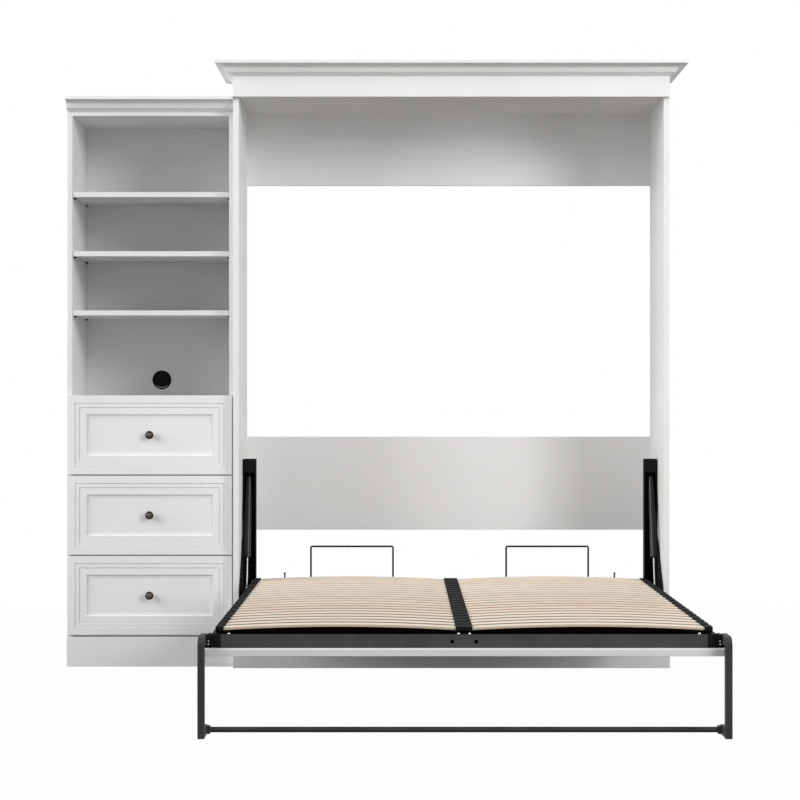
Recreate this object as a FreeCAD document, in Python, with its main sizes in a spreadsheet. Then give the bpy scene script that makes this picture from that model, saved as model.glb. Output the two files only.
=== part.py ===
import FreeCAD, Part
import math
import os
import re
from FreeCAD import Placement, Rotation, Vector

os.makedirs("parts", exist_ok=True)
doc = FreeCAD.newDocument("wall_bed")

# Driving dimensions in millimetres
sizes = {
    # bed cabinet
    "bed_depth": 464,
    "overall_height": 2254,
    "fascia_height": 129,
    "side_thickness": 21,
    "top_thickness": 21,
    "back_thickness": 16,
    "fascia_thickness": 19,
    "upper_back_height": 287,
    "headboard_bottom": 488,
    "headboard_height": 365,
    "lower_rail_bottom": 150,
    "lower_rail_height": 100,
    "plinth_thickness": 19,
    "plinth_height": 175,
    "wall_hole_diameter": 7,
    "wall_hole_spacing": 1200,
    "wall_hole_rise": 160,
    # crown moulding
    "crown_height": 48,
    "crown_projection": 62,
    "crown_fillet": 12,
    "crown_foot": 10,
    "crown_bead": 14,
    "crown_step": 3,
    "crown_quirk": 2,
    # folding axis, measured from the cabinet's front edges
    "pivot_setback": 46,
    "pivot_diameter": 16,
    "pivot_flange_diameter": 30,
    "pivot_flange_thickness": 4,
    "pivot_boss_diameter": 34,
    "pivot_boss_length": 8,
    "running_clearance": 0.05,
    "overshoot": 1,
    # bed frame
    "door_bottom": 240,
    "door_thickness": 20,
    "door_overlap": 31,
    "door_gap": 3,
    "door_lip": 44,
    "frame_width": 1508,
    "frame_side_gap": 38,
    "frame_reach": 1700,
    "frame_head": 305,
    "rail_height": 41,
    "rail_width": 30,
    "rail_wall": 2,
    "cross_rail_depth": 40,
    "centre_rail_width": 40,
    "rail_hole_diameter": 12,
    "rail_hole_spacing": 71,
    "rail_hole_drop": 2,
    # slats and their holders
    "slat_count": 21,
    "slat_width": 55,
    "slat_thickness": 8,
    "slat_bow": 11,
    "slat_first": 18,
    "slat_last": 158,
    "slat_inset": 25,
    "slat_centre_gap": 26,
    "holder_lift": 9,
    "holder_margin": 4,
    "holder_grip": 12,
    "holder_back": 12,
    "holder_lid": 3,
    "holder_clearance": 1.2,
    # mattress stops and pins at the head end
    "stop_wire": 7,
    "stop_width": 316,
    "stop_shift": 2,
    "stop_top": 433,
    "stop_bend": 6,
    "head_pin_inset": 119,
    "head_pin_top": 332,
    "head_pin_diameter": 6,
    "head_pin_cap": 11,
    "bolt_diameter": 9,
    "bolt_height": 4,
    "bolt_edge": 1,
    "front_bolt_inset": 54,
    "middle_bolt_spread": 33,
    "head_bolt_spread": 140,
    # leg
    "leg_axis_height": 286,
    "leg_reach": 84,
    "leg_tail": 14,
    "leg_gap": 4,
    "leg_depth": 28,
    "leg_width": 20.5,
    "leg_outset": 33,
    "leg_corner": 4,
    "leg_bend": 17,
    "foot_length": 101,
    "crossbar_setback": 86,
    "crossbar_height": 14,
    "crossbar_diameter": 17,
    "collar_side": 24,
    "collar_length": 9.5,
    "stub_diameter": 12,
    "bracket_width": 10,
    "bracket_front": 10,
    "bracket_back": 16,
    "bracket_lift": 8,
    "bracket_bolt_diameter": 6,
    "bracket_bolt_height": 2.5,
    "bracket_bolt_inset": 6,
    "bracket_bolt_first": 12,
    "bracket_bolt_pitch": 9,
    # side mechanism
    "plate_thickness": 4,
    "plate_front": 12,
    "plate_bottom": 255,
    "plate_nose": 300,
    "gusset_top": 490,
    "upright_setback": 200,
    "upright_depth": 50,
    "upright_width": 47,
    "upright_wall": 3,
    "upright_bottom": 304,
    "upright_rise": 50,
    "upright_tab_gap": 3,
    "cap_height": 48,
    "plate_bolt_diameter": 13,
    "plate_bolt_height": 5,
    "low_bolt_back": 14,
    "low_bolt_up": 42,
    "middle_bolt_back": 46,
    "middle_bolt_up": 78,
    "high_bolt_front": 16,
    "high_bolt_down": 34,
    # gas spring
    "gas_top_setback": 225,
    "gas_top_height": 719,
    "gas_lever": 30,
    "gas_rise": 8,
    "gas_outset": 14,
    "cylinder_diameter": 24,
    "cylinder_wall": 1.2,
    "cylinder_length": 335,
    "rod_diameter": 8,
    "rod_length": 240,
    "eye_diameter": 18,
    "eye_width": 8,
    "eye_pin_diameter": 8,
    "eye_neck": 6,
    "stud_collar_diameter": 14,
    "stud_keeper_diameter": 13,
    "stud_keeper_thickness": 3,
    "stud_gap": 0.3,
    # shelf and drawer unit
    "unit_width": 625,
    "unit_setback": 50,
    "unit_side_thickness": 19,
    "unit_board": 19,
    "unit_drop": 173,
    "top_bay_share": 0.285,
    "shelf_pitch_share": 0.2081,
    "shelf_count": 3,
    "shelf_clearance": 1,
    "shelf_setback": 2,
    "pin_diameter": 6,
    "pin_length": 9,
    "pin_inset": 40,
    "screw_share": 0.275,
    "screw_spread": 328,
    "screw_diameter": 11,
    "screw_thickness": 2,
    "ring_lift": 62,
    "ring_diameter": 74,
    "ring_bore": 58,
    "ring_flange": 3,
    "cap_thickness": 5,
    "slot_width": 24,
    "slot_depth": 11,
    "shutter_gap": 0.5,
    "shutter_thickness": 2,
    "shutter_rise": 3,
    "unit_plinth_height": 111,
    # drawers
    "drawer_count": 3,
    "front_bottom": 118,
    "front_height": 296,
    "front_gap": 4,
    "front_thickness": 20,
    "front_clearance": 2,
    "front_left_gap": 2.5,
    "front_right_gap": 7,
    "frame_flat": 29,
    "frame_step": 16,
    "frame_step_depth": 1.5,
    "frame_band": 27,
    "frame_ramp": 12,
    "panel_depth": 9,
    "knob_diameter": 31,
    "knob_projection": 27,
    "knob_base": 20,
    "knob_neck": 12,
    "knob_base_end": 3.2,
    "knob_neck_start": 5.9,
    "knob_neck_end": 11.3,
    "knob_rim": 16.7,
    "box_board": 14,
    "box_height": 200,
    "box_depth": 370,
    "box_lift": 36,
    "box_bottom": 8,
    "runner_thickness": 6,
    "runner_height": 44,
    "runner_inner_height": 30,
    "runner_gap": 0.3,
    "runner_lift": 30,
}

# Places worked out from the driving dimensions
rules = {
    "front_y": "plinth_thickness / 2",
    "wall_y": "front_y + bed_depth",
    "back_y": "wall_y - back_thickness",
    "frame_half": "frame_width / 2",
    "bed_inner": "frame_half + frame_side_gap",
    "bed_half": "bed_inner + side_thickness",
    "opening_height": "overall_height - fascia_height",
    "crown_bottom": "overall_height - crown_height",
    "upper_back_bottom": "opening_height - upper_back_height",
    "rail_bottom": "door_bottom + door_thickness",
    "rail_top": "rail_bottom + rail_height",
    "pivot_y": "front_y + pivot_setback",
    "pivot_z": "rail_bottom + rail_height / 2",
    "frame_front": "front_y - frame_reach",
    "frame_back": "front_y + frame_head",
    "slat_field": "frame_reach + frame_head - slat_first - slat_last",
    "stop_spread": "frame_half - stop_shift",
    "head_pin_spread": "frame_width - 2 * head_pin_inset",
    "front_bolt_spread": "frame_width - 2 * front_bolt_inset",
    "door_half": "frame_half + door_overlap",
    "door_front": "frame_front - door_lip",
    "door_back": "pivot_y + pivot_z - plinth_height - door_gap",
    "head_y": "frame_back - cross_rail_depth / 2",
    "leg_y": "door_front - leg_gap - leg_depth / 2",
    "leg_half": "frame_half + leg_outset",
    "leg_inner": "leg_half - leg_width",
    "leg_axis_y": "leg_y + leg_reach",
    "crossbar_y": "leg_y + crossbar_setback",
    "crossbar_half": "leg_inner - collar_length",
    "bracket_outer": "frame_half + bracket_width",
    "bracket_face": "frame_front - bracket_front",
    "plate_inner": "bed_inner - plate_thickness",
    "upright_y": "front_y + upright_setback",
    "upright_inner": "plate_inner - upright_width",
    "upright_top": "gas_top_height + upright_rise",
    "gas_x": "frame_half + gas_outset",
    "gas_top_y": "front_y + gas_top_setback",
    "gas_pin_y": "pivot_y + gas_lever",
    "gas_pin_z": "pivot_z + gas_rise",
    "unit_right": "0 - bed_half",
    "unit_left": "unit_right - unit_width",
    "unit_middle": "unit_right - unit_width / 2",
    "unit_front": "front_y + unit_setback",
    "bay_left": "unit_left + unit_side_thickness",
    "bay_right": "unit_right - unit_side_thickness",
    "deck_top": "front_bottom + drawer_count * front_height + (drawer_count - 1) * front_gap",
    "unit_top_height": "overall_height - unit_drop",
    "shelf_field": "unit_top_height - deck_top",
    "shelf_top": "unit_top_height - top_bay_share * shelf_field",
    "shelf_pitch": "shelf_pitch_share * shelf_field",
    "screw_height": "shelf_top - screw_share * shelf_pitch",
    "ring_height": "deck_top + ring_lift",
    "slot_bottom": "ring_height - ring_bore / 2",
    "shutter_front": "back_y - ring_flange + cap_thickness + shutter_gap",
    "shutter_top": "slot_bottom + slot_depth + shutter_rise",
    "front_back": "unit_front - front_clearance",
    "front_face": "front_back - front_thickness",
    "front_left": "unit_left + front_left_gap",
    "front_right": "unit_right - front_right_gap",
    "runner_total": "2 * runner_thickness + runner_gap",
    "cylinder_bore": "cylinder_diameter / 2 - cylinder_wall",
}

dims = doc.addObject("Spreadsheet::Sheet", "dims")
for row, (alias, number) in enumerate(sizes.items(), start=1):
    dims.set(f"A{row}", alias)
    dims.set(f"B{row}", str(number))
    dims.setAlias(f"B{row}", alias)
doc.recompute()


# Turns plain names into references to the two sheets
def formula(text, own_sheet=""):
    def reference(match):
        word = match.group(0)
        if word in sizes:
            return "dims." + word
        if word in rules:
            return own_sheet + word
        return word
    return re.sub(r"[A-Za-z_]\w*", reference, text)


places = doc.addObject("Spreadsheet::Sheet", "places")
for row, (alias, rule) in enumerate(rules.items(), start=1):
    places.set(f"A{row}", alias)
    places.set(f"B{row}", "=" + formula(rule))
    places.setAlias(f"B{row}", alias)
doc.recompute()


# The number that a named size or place has now
def value(name):
    sheet = dims if name in sizes else places
    return float(sheet.get(name))


nodes = []


# Marks an object as one finished piece of the bed
def node(label, item):
    item.Label = label
    nodes.append(item)
    return item


def bind(item, prop, text):
    item.setExpression(prop, formula(text, "places."))


# Start and end of a stretch along X that lies on the left (-1) or right (+1) of the middle
def across(side, inner, outer):
    if side > 0:
        return inner, outer
    return f"0 - ({outer})", f"0 - ({inner})"


# A rectangular board or bar between start and end formulas on each axis
def board(name, x, y, z):
    item = doc.addObject("Part::Box", name)
    for prop, letter, (start, end) in zip(("Length", "Width", "Height"), "xyz", (x, y, z)):
        bind(item, prop, f"({end}) - ({start})")
        bind(item, f"Placement.Base.{letter}", start)
    return item


turns = {
    "x": Rotation(Vector(0, 1, 0), 90),
    "y": Rotation(Vector(1, 0, 0), -90),
    "z": Rotation(),
}


# A round bar along one axis, from start to end, centred on the other two
def bar(name, axis, diameter, start, end, centre):
    item = doc.addObject("Part::Cylinder", name)
    item.Placement = Placement(Vector(), turns[axis])
    bind(item, "Radius", f"({diameter}) / 2")
    bind(item, "Height", f"({end}) - ({start})")
    others = iter(centre)
    for letter in "xyz":
        bind(item, f"Placement.Base.{letter}", start if letter == axis else next(others))
    return item


def cut(name, base, *tools):
    item = doc.addObject("Part::Cut", name)
    item.Base = base
    item.Tool = tools[0] if len(tools) == 1 else join(name + "_tools", *tools)
    return item


def join(name, *items):
    item = doc.addObject("Part::MultiFuse", name)
    item.Shapes = list(items)
    return item


# Separate solids kept in one node
def group(name, *items):
    item = doc.addObject("Part::Compound", name)
    item.Links = list(items)
    return item


# A piece whose outline is worked out here from the sheets
def feature(name, shape):
    item = doc.addObject("Part::Feature", name)
    item.Shape = shape
    item.Placement = Placement()
    return item


def prism(points, direction):
    outline = Part.makePolygon(points + points[:1])
    return Part.Face(outline).extrude(direction)


# Path of straight runs with a tangent arc at every inner point
def rounded_path(points, radius):
    edges = []
    start = points[0]
    for before, corner, after in zip(points, points[1:], points[2:]):
        inward = (before - corner).normalize()
        outward = (after - corner).normalize()
        reach = radius / math.tan(inward.getAngle(outward) / 2)
        first = corner + inward * reach
        last = corner + outward * reach
        bisector = (inward + outward).normalize()
        middle = corner + bisector * (math.hypot(radius, reach) - radius)
        edges.append(Part.makeLine(start, first))
        edges.append(Part.Arc(first, middle, last).toShape())
        start = last
    edges.append(Part.makeLine(start, points[-1]))
    return Part.Wire(edges)


sides = {"left": -1, "right": 1}


# Bed cabinet: boards

def wall_holes(name, bottom, height):
    holes = []
    for side_name, side in sides.items():
        for level in (-1, 1):
            x = f"{side} * wall_hole_spacing / 2"
            z = f"{bottom} + {height} / 2 + {level} * wall_hole_rise / 2"
            hole = bar(f"{name}_hole_{side_name}_{level + 1}", "y", "wall_hole_diameter",
                       "back_y - overshoot", "wall_y + overshoot", (x, z))
            holes.append(hole)
    return holes


full_inside = ("0 - bed_inner", "bed_inner")
full_outside = ("0 - bed_half", "bed_half")
for side_name, side in sides.items():
    node(f"bed_side_{side_name}", board(
        f"bed_side_{side_name}", across(side, "bed_inner", "bed_half"),
        ("front_y", "wall_y"), ("0", "overall_height")))
node("bed_top", board(
    "bed_top", full_inside, ("front_y", "back_y"),
    ("opening_height", "opening_height + top_thickness")))
node("bed_fascia", board(
    "bed_fascia", full_outside, ("front_y - fascia_thickness", "front_y"),
    ("opening_height", "overall_height")))
upper_blank = board("upper_back_blank", full_inside, ("back_y", "wall_y"),
                    ("upper_back_bottom", "opening_height"))
node("bed_upper_back", cut(
    "bed_upper_back", upper_blank,
    *wall_holes("upper", "upper_back_bottom", "upper_back_height")))
headboard_blank = board("headboard_blank", full_inside, ("back_y", "wall_y"),
                        ("headboard_bottom", "headboard_bottom + headboard_height"))
node("bed_headboard", cut(
    "bed_headboard", headboard_blank,
    *wall_holes("headboard", "headboard_bottom", "headboard_height")))
node("bed_lower_rail", board(
    "bed_lower_rail", full_inside, ("back_y", "wall_y"),
    ("lower_rail_bottom", "lower_rail_bottom + lower_rail_height")))
node("bed_plinth", board(
    "bed_plinth", full_outside, ("0 - plinth_thickness / 2", "front_y"), ("0", "plinth_height")))


# Crown mouldings: foot, ovolo bead, cove and top fillet, seen in section

# The section in the plane of out and Z, with its back against a face
def crown_face(corner, out):
    height = value("crown_height")
    reach = value("crown_projection")
    foot = value("crown_foot")
    bead = value("crown_bead")
    fillet = value("crown_fillet")
    step = value("crown_step")
    shoulder = step + bead
    cove_bottom = shoulder + value("crown_quirk")
    half_root = math.sqrt(0.5)

    def point(away, up):
        return corner + out * away + Vector(0, 0, up)

    cove_start = foot + bead + step
    cove_end = reach - step
    cove_rise = height - fillet - cove_bottom
    bead_middle = point(foot + bead * half_root, shoulder - bead * half_root)
    cove_middle = point(cove_start + (cove_end - cove_start) * (1 - half_root),
                        cove_bottom + cove_rise * half_root)
    edges = [
        Part.makeLine(point(0, 0), point(foot, 0)),
        Part.makeLine(point(foot, 0), point(foot, step)),
        Part.Arc(point(foot, step), bead_middle, point(foot + bead, shoulder)).toShape(),
        Part.makeLine(point(foot + bead, shoulder), point(cove_start, shoulder)),
        Part.makeLine(point(cove_start, shoulder), point(cove_start, cove_bottom)),
        Part.Arc(point(cove_start, cove_bottom), cove_middle, point(cove_end, height - fillet)).toShape(),
        Part.makeLine(point(cove_end, height - fillet), point(reach, height - fillet)),
        Part.makeLine(point(reach, height - fillet), point(reach, height)),
        Part.makeLine(point(reach, height), point(0, height)),
        Part.makeLine(point(0, height), point(0, 0)),
    ]
    return Part.Face(Part.Wire(edges))


# A block that takes away everything past the 45 degree mitre at one outer corner
def mitre_block(corner, side, front):
    size = 4 * value("crown_projection")
    sideways = Vector(side, 0, 0)
    forward = Vector(0, -1, 0)
    outer = corner + (sideways + forward) * size
    inner = corner - (sideways + forward) * size
    third = outer + (forward if not front else sideways) * 2 * size
    fourth = inner + (forward if not front else sideways) * 2 * size
    drop = Vector(0, 0, -size)
    return prism([inner + drop, outer + drop, third + drop, fourth + drop], drop * -3)


fascia_face = value("front_y") - value("fascia_thickness")
crown_level = value("crown_bottom")
crown_reach = value("crown_projection")
front_corner = Vector(-value("bed_half") - crown_reach, fascia_face, crown_level)
front_run = crown_face(front_corner, Vector(0, -1, 0)).extrude(
    Vector(2 * value("bed_half") + 2 * crown_reach, 0, 0))
return_runs = []
for side_name, side in sides.items():
    corner = Vector(side * value("bed_half"), fascia_face, crown_level)
    front_run = front_run.cut(mitre_block(corner, side, True))
    start = corner + Vector(0, -crown_reach, 0)
    run = crown_face(start, Vector(side, 0, 0)).extrude(
        Vector(0, value("wall_y") - fascia_face + crown_reach, 0))
    return_runs.append(run.cut(mitre_block(corner, side, False)))
node("bed_crown_front", feature("bed_crown_front", front_run))
node("bed_crown_returns", feature("bed_crown_returns", Part.makeCompound(return_runs)))


# Side mechanism: plates with gussets, uprights, caps, pins and bolts

plates = []
uprights = []
caps = []
mechanism_pins = []
plate_bolts = []
for side_name, side in sides.items():
    plate_points = [
        ("plate_front", "plate_bottom"),
        ("plate_front", "plate_nose"),
        ("upright_setback", "gusset_top"),
        ("upright_setback", "upright_top"),
        ("back_edge", "upright_top"),
        ("back_edge", "plate_bottom"),
    ]
    back_edge = value("upright_setback") + value("upright_depth")
    outline = []
    for setback, height in plate_points:
        away = back_edge if setback == "back_edge" else value(setback)
        outline.append(Vector(side * value("plate_inner"), value("front_y") + away, value(height)))
    plate = prism(outline, Vector(side * value("plate_thickness"), 0, 0))
    plates.append(feature(f"plate_{side_name}", plate))

    outside = across(side, "upright_inner", "plate_inner")
    inside = across(side, "upright_inner + upright_wall", "plate_inner - upright_wall")
    channel = board(f"channel_{side_name}", outside,
                    ("upright_y", "upright_y + upright_depth"), ("upright_bottom", "upright_top"))
    hollow = board(f"channel_hollow_{side_name}", inside,
                   ("upright_y - overshoot", "upright_y + upright_depth - upright_wall"),
                   ("upright_bottom - overshoot", "upright_top + overshoot"))
    tab = board(f"upright_tab_{side_name}", across(side, "frame_half + upright_tab_gap", "plate_inner"),
                ("upright_y + upright_depth - upright_wall", "upright_y + upright_depth"),
                ("plate_bottom", "upright_bottom"))
    uprights.append(join(f"upright_{side_name}", cut(f"upright_channel_{side_name}", channel, hollow), tab))

    cap_front = board(f"cap_front_{side_name}", outside, ("upright_y - upright_wall", "upright_y"),
                      ("upright_top - cap_height", "upright_top + upright_wall"))
    cap_lid = board(f"cap_lid_{side_name}", outside, ("upright_y", "upright_y + upright_depth"),
                    ("upright_top", "upright_top + upright_wall"))
    caps.append(join(f"cap_{side_name}", cap_front, cap_lid))

    pivot_centre = ("pivot_y", "pivot_z")
    flange = bar(f"pivot_flange_{side_name}", "x", "pivot_flange_diameter",
                 *across(side, "plate_inner - pivot_flange_thickness", "plate_inner"), pivot_centre)
    shaft = bar(f"pivot_shaft_{side_name}", "x", "pivot_diameter",
                *across(side, "frame_half - rail_width", "plate_inner"), pivot_centre)
    mechanism_pins.append(join(f"pivot_pin_{side_name}", flange, shaft))
    mechanism_pins.append(bar(
        f"gas_top_pin_{side_name}", "x", "eye_pin_diameter",
        *across(side, "upright_inner + upright_wall", "plate_inner - upright_wall"),
        ("gas_top_y", "gas_top_height")))

    bolt_places = {
        "low": ("pivot_y + low_bolt_back", "pivot_z + low_bolt_up"),
        "middle": ("pivot_y + middle_bolt_back", "pivot_z + middle_bolt_up"),
        "high": ("upright_y - high_bolt_front", "gusset_top - high_bolt_down"),
    }
    for bolt_name, centre in bolt_places.items():
        plate_bolts.append(bar(
            f"plate_bolt_{bolt_name}_{side_name}", "x", "plate_bolt_diameter",
            *across(side, "plate_inner - plate_bolt_height", "plate_inner"), centre))
node("mechanism_plates", group("mechanism_plates", *plates))
node("uprights", group("uprights", *uprights))
node("upright_caps", group("upright_caps", *caps))
node("mechanism_pins", group("mechanism_pins", *mechanism_pins))
node("plate_bolts", group("plate_bolts", *plate_bolts))


# Gas springs: the cylinder hangs from the upright, the piston rod from the bed's side rail

gas_tilt = math.atan2(value("gas_top_y") - value("gas_pin_y"),
                      value("gas_top_height") - value("gas_pin_z"))
gas_down = Vector(0, -math.sin(gas_tilt), -math.cos(gas_tilt))


def eye(centre, side):
    half = value("eye_width") / 2
    along = Vector(side, 0, 0)
    bore = value("eye_pin_diameter") / 2 + value("running_clearance")
    ring = Part.makeCylinder(value("eye_diameter") / 2, 2 * half, centre - along * half, along)
    hole = Part.makeCylinder(bore, 4 * half, centre - along * 2 * half, along)
    return ring, hole


for side_name, side in sides.items():
    top = Vector(side * value("gas_x"), value("gas_top_y"), value("gas_top_height"))
    ring, hole = eye(top, side)
    head = value("eye_diameter") / 2 + value("eye_neck")
    outer_radius = value("cylinder_diameter") / 2
    neck = Part.makeCylinder(value("eye_width") / 2, head, top, gas_down)
    tube_start = top + gas_down * head
    tube = Part.makeCylinder(outer_radius, value("cylinder_length") - head, tube_start, gas_down)
    bore_start = tube_start + gas_down * outer_radius
    bore = Part.makeCylinder(value("cylinder_bore"), value("cylinder_length"), bore_start, gas_down)
    cylinder = ring.fuse([neck, tube]).cut([hole, bore])
    node(f"gas_cylinder_{side_name}", feature(f"gas_cylinder_{side_name}", cylinder))

    foot = Vector(side * value("gas_x"), value("gas_pin_y"), value("gas_pin_z"))
    ring, hole = eye(foot, side)
    shaft = Part.makeCylinder(value("rod_diameter") / 2, value("rod_length"), foot, gas_down * -1)
    rod = ring.fuse(shaft).cut(hole)
    node(f"gas_rod_{side_name}", feature(f"gas_rod_{side_name}", rod))


# Bed frame: hollow rails, door panel, pivots and studs

def hollow_rail(name, x, y, along, capped=False):
    outer = board(name + "_outer", x, y, ("rail_bottom", "rail_top"))

    def inside(span, open_ends):
        start, end = span
        if not open_ends:
            return f"{start} + rail_wall", f"{end} - rail_wall"
        if capped:
            return f"{start} + rail_wall", f"{end} + overshoot"
        return f"{start} - overshoot", f"{end} + overshoot"

    inner = board(name + "_inner", inside(x, along == "x"), inside(y, along == "y"),
                  ("rail_bottom + rail_wall", "rail_top - rail_wall"))
    return cut(name + "_tube", outer, inner)


for side_name, side in sides.items():
    name = f"side_rail_{side_name}"
    tube = hollow_rail(name, across(side, "frame_half - rail_width", "frame_half"),
                       ("frame_front", "frame_back - cross_rail_depth"), "y", capped=True)
    pivot_centre = ("pivot_y", "pivot_z")
    boss = bar(name + "_boss", "x", "pivot_boss_diameter",
               *across(side, "frame_half - rail_wall", "frame_half + pivot_boss_length"), pivot_centre)
    bore = bar(name + "_bore", "x", "pivot_diameter + 2 * running_clearance",
               *across(side, "frame_half - rail_width - overshoot",
                       "frame_half + pivot_boss_length + overshoot"), pivot_centre)
    stud_centre = ("gas_pin_y", "gas_pin_z")
    eye_inner = "gas_x - eye_width / 2"
    eye_outer = "gas_x + eye_width / 2"
    collar = bar(f"stud_collar_{side_name}", "x", "stud_collar_diameter",
                 *across(side, "frame_half", f"{eye_inner} - stud_gap"), stud_centre)
    shaft = bar(f"stud_shaft_{side_name}", "x", "eye_pin_diameter",
                *across(side, "frame_half", f"{eye_outer} + stud_keeper_thickness"), stud_centre)
    keeper = bar(f"stud_keeper_{side_name}", "x", "stud_keeper_diameter",
                 *across(side, f"{eye_outer} + stud_gap", f"{eye_outer} + stud_keeper_thickness"), stud_centre)
    node(name, cut(name, join(name + "_body", tube, boss, collar, shaft, keeper), bore))

front_tube = hollow_rail("front_rail", ("rail_width - frame_half", "frame_half - rail_width"),
                         ("frame_front", "frame_front + cross_rail_depth"), "x")
rail_holes = []
for side_name, side in sides.items():
    rail_holes.append(bar(
        f"rail_hole_{side_name}", "y", "rail_hole_diameter", "frame_front - overshoot",
        "frame_front + cross_rail_depth / 2", (f"{side} * rail_hole_spacing / 2", "pivot_z - rail_hole_drop")))
node("front_rail", cut("front_rail", front_tube, *rail_holes))
node("head_rail", hollow_rail(
    "head_rail", ("0 - frame_half", "frame_half"), ("frame_back - cross_rail_depth", "frame_back"), "x"))
node("centre_rail", hollow_rail(
    "centre_rail", ("0 - centre_rail_width / 2", "centre_rail_width / 2"),
    ("frame_front + cross_rail_depth", "frame_back - cross_rail_depth"), "y"))
node("door_panel", board(
    "door_panel", ("0 - door_half", "door_half"), ("door_front", "door_back"),
    ("door_bottom", "rail_bottom")))


# Slats: thin bowed strips in two columns

slat_start = value("frame_front") + value("slat_first")
slat_count = int(value("slat_count"))
slat_pitch = (value("slat_field") - value("slat_width")) / (slat_count - 1)
slat_outer = value("frame_half") - value("slat_inset")
slat_inner = value("slat_centre_gap") / 2
slat_level = value("rail_top") + value("holder_lift")


def slat(side, y):
    middle = (slat_inner + slat_outer) / 2
    under = slat_level
    over = slat_level + value("slat_thickness")
    bow = value("slat_bow")

    def point(x, z):
        return Vector(side * x, y, z)

    edges = [
        Part.Arc(point(slat_inner, under), point(middle, under + bow), point(slat_outer, under)).toShape(),
        Part.makeLine(point(slat_outer, under), point(slat_outer, over)),
        Part.Arc(point(slat_outer, over), point(middle, over + bow), point(slat_inner, over)).toShape(),
        Part.makeLine(point(slat_inner, over), point(slat_inner, under)),
    ]
    return Part.Face(Part.Wire(edges)).extrude(Vector(0, value("slat_width"), 0))


# A moulded holder on a rail, with a pocket for the end of a slat on one or both sides
def holder(low, high, pockets, y):
    margin = value("holder_margin")
    length = value("slat_width") + 2 * margin
    bottom = value("rail_top")
    top = slat_level + value("slat_thickness") + value("holder_clearance") + value("holder_lid")
    block = Part.makeBox(high - low, length, top - bottom, Vector(low, y - margin, bottom))
    gap = value("running_clearance")
    pocket_height = value("slat_thickness") + value("holder_clearance")
    for start, end in pockets:
        pocket = Part.makeBox(end - start, value("slat_width") + 2 * gap, pocket_height,
                              Vector(start, y - gap, slat_level))
        block = block.cut(pocket)
    return block


slats = {"left": [], "right": []}
holders = []
grip = value("holder_grip")
end_gap = value("running_clearance")
overshoot = value("overshoot")
for number in range(slat_count):
    y = slat_start + number * slat_pitch
    for side_name, side in sides.items():
        slats[side_name].append(slat(side, y))
        tip = slat_outer + end_gap
        mouth = slat_outer - grip
        back = slat_outer + value("holder_back")
        low, high = sorted((side * mouth, side * back))
        pocket = sorted((side * (mouth - overshoot), side * tip))
        holders.append(holder(low, high, [pocket], y))
    reach = slat_inner + grip
    centre_pockets = [(-reach - overshoot, -slat_inner + end_gap), (slat_inner - end_gap, reach + overshoot)]
    holders.append(holder(-reach, reach, centre_pockets, y))
node("slats_left", feature("slats_left", Part.makeCompound(slats["left"])))
node("slats_right", feature("slats_right", Part.makeCompound(slats["right"])))
node("slat_holders", feature("slat_holders", Part.makeCompound(holders)))


# Wire mattress stops, T-headed pins and bolts on the frame

stops = []
for side in sides.values():
    middle = side * value("stop_spread") / 2
    half = value("stop_width") / 2
    y = value("head_y")
    corners = [
        Vector(middle - half, y, value("rail_top")),
        Vector(middle - half, y, value("stop_top")),
        Vector(middle + half, y, value("stop_top")),
        Vector(middle + half, y, value("rail_top")),
    ]
    path = rounded_path(corners, value("stop_bend"))
    section = Part.Wire(Part.makeCircle(value("stop_wire") / 2, corners[0], Vector(0, 0, 1)))
    stops.append(path.makePipeShell([section], True, False))
node("mattress_stops", feature("mattress_stops", Part.makeCompound(stops)))

head_pins = []
frame_bolts = []
for side_name, side in sides.items():
    pin_place = (f"{side} * head_pin_spread / 2", "head_y")
    shank = bar(f"head_pin_shank_{side_name}", "z", "head_pin_diameter", "rail_top",
                "head_pin_top", pin_place)
    cap = bar(f"head_pin_cap_{side_name}", "z", "head_pin_cap", "head_pin_top - head_pin_diameter / 2",
              "head_pin_top", pin_place)
    head_pins.append(join(f"head_pin_{side_name}", shank, cap))
    bolt_rows = {
        "front": ("front_bolt_spread", "frame_front + bolt_diameter / 2 + bolt_edge", "bolt_height"),
        "middle": ("middle_bolt_spread", "frame_front + bolt_diameter / 2 + bolt_edge", "bolt_height"),
        "head": ("head_bolt_spread", "head_y", "2 * bolt_height"),
    }
    for bolt_name, (spread, y, height) in bolt_rows.items():
        frame_bolts.append(bar(
            f"frame_bolt_{bolt_name}_{side_name}", "z", "bolt_diameter", "rail_top",
            f"rail_top + {height}", (f"{side} * {spread} / 2", y)))
    for level in range(2):
        frame_bolts.append(bar(
            f"bracket_bolt_{level}_{side_name}", "y", "bracket_bolt_diameter",
            "bracket_face - bracket_bolt_height", "bracket_face",
            (f"{side} * (frame_half + bracket_bolt_inset)",
             f"rail_bottom + bracket_bolt_first + {level} * bracket_bolt_pitch")))
node("head_pins", group("head_pins", *head_pins))
node("frame_bolts", group("frame_bolts", *frame_bolts))


# Leg: two arms bent back at the top, each with a foot on the floor, a crossbar, and the brackets for the stubs

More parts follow.
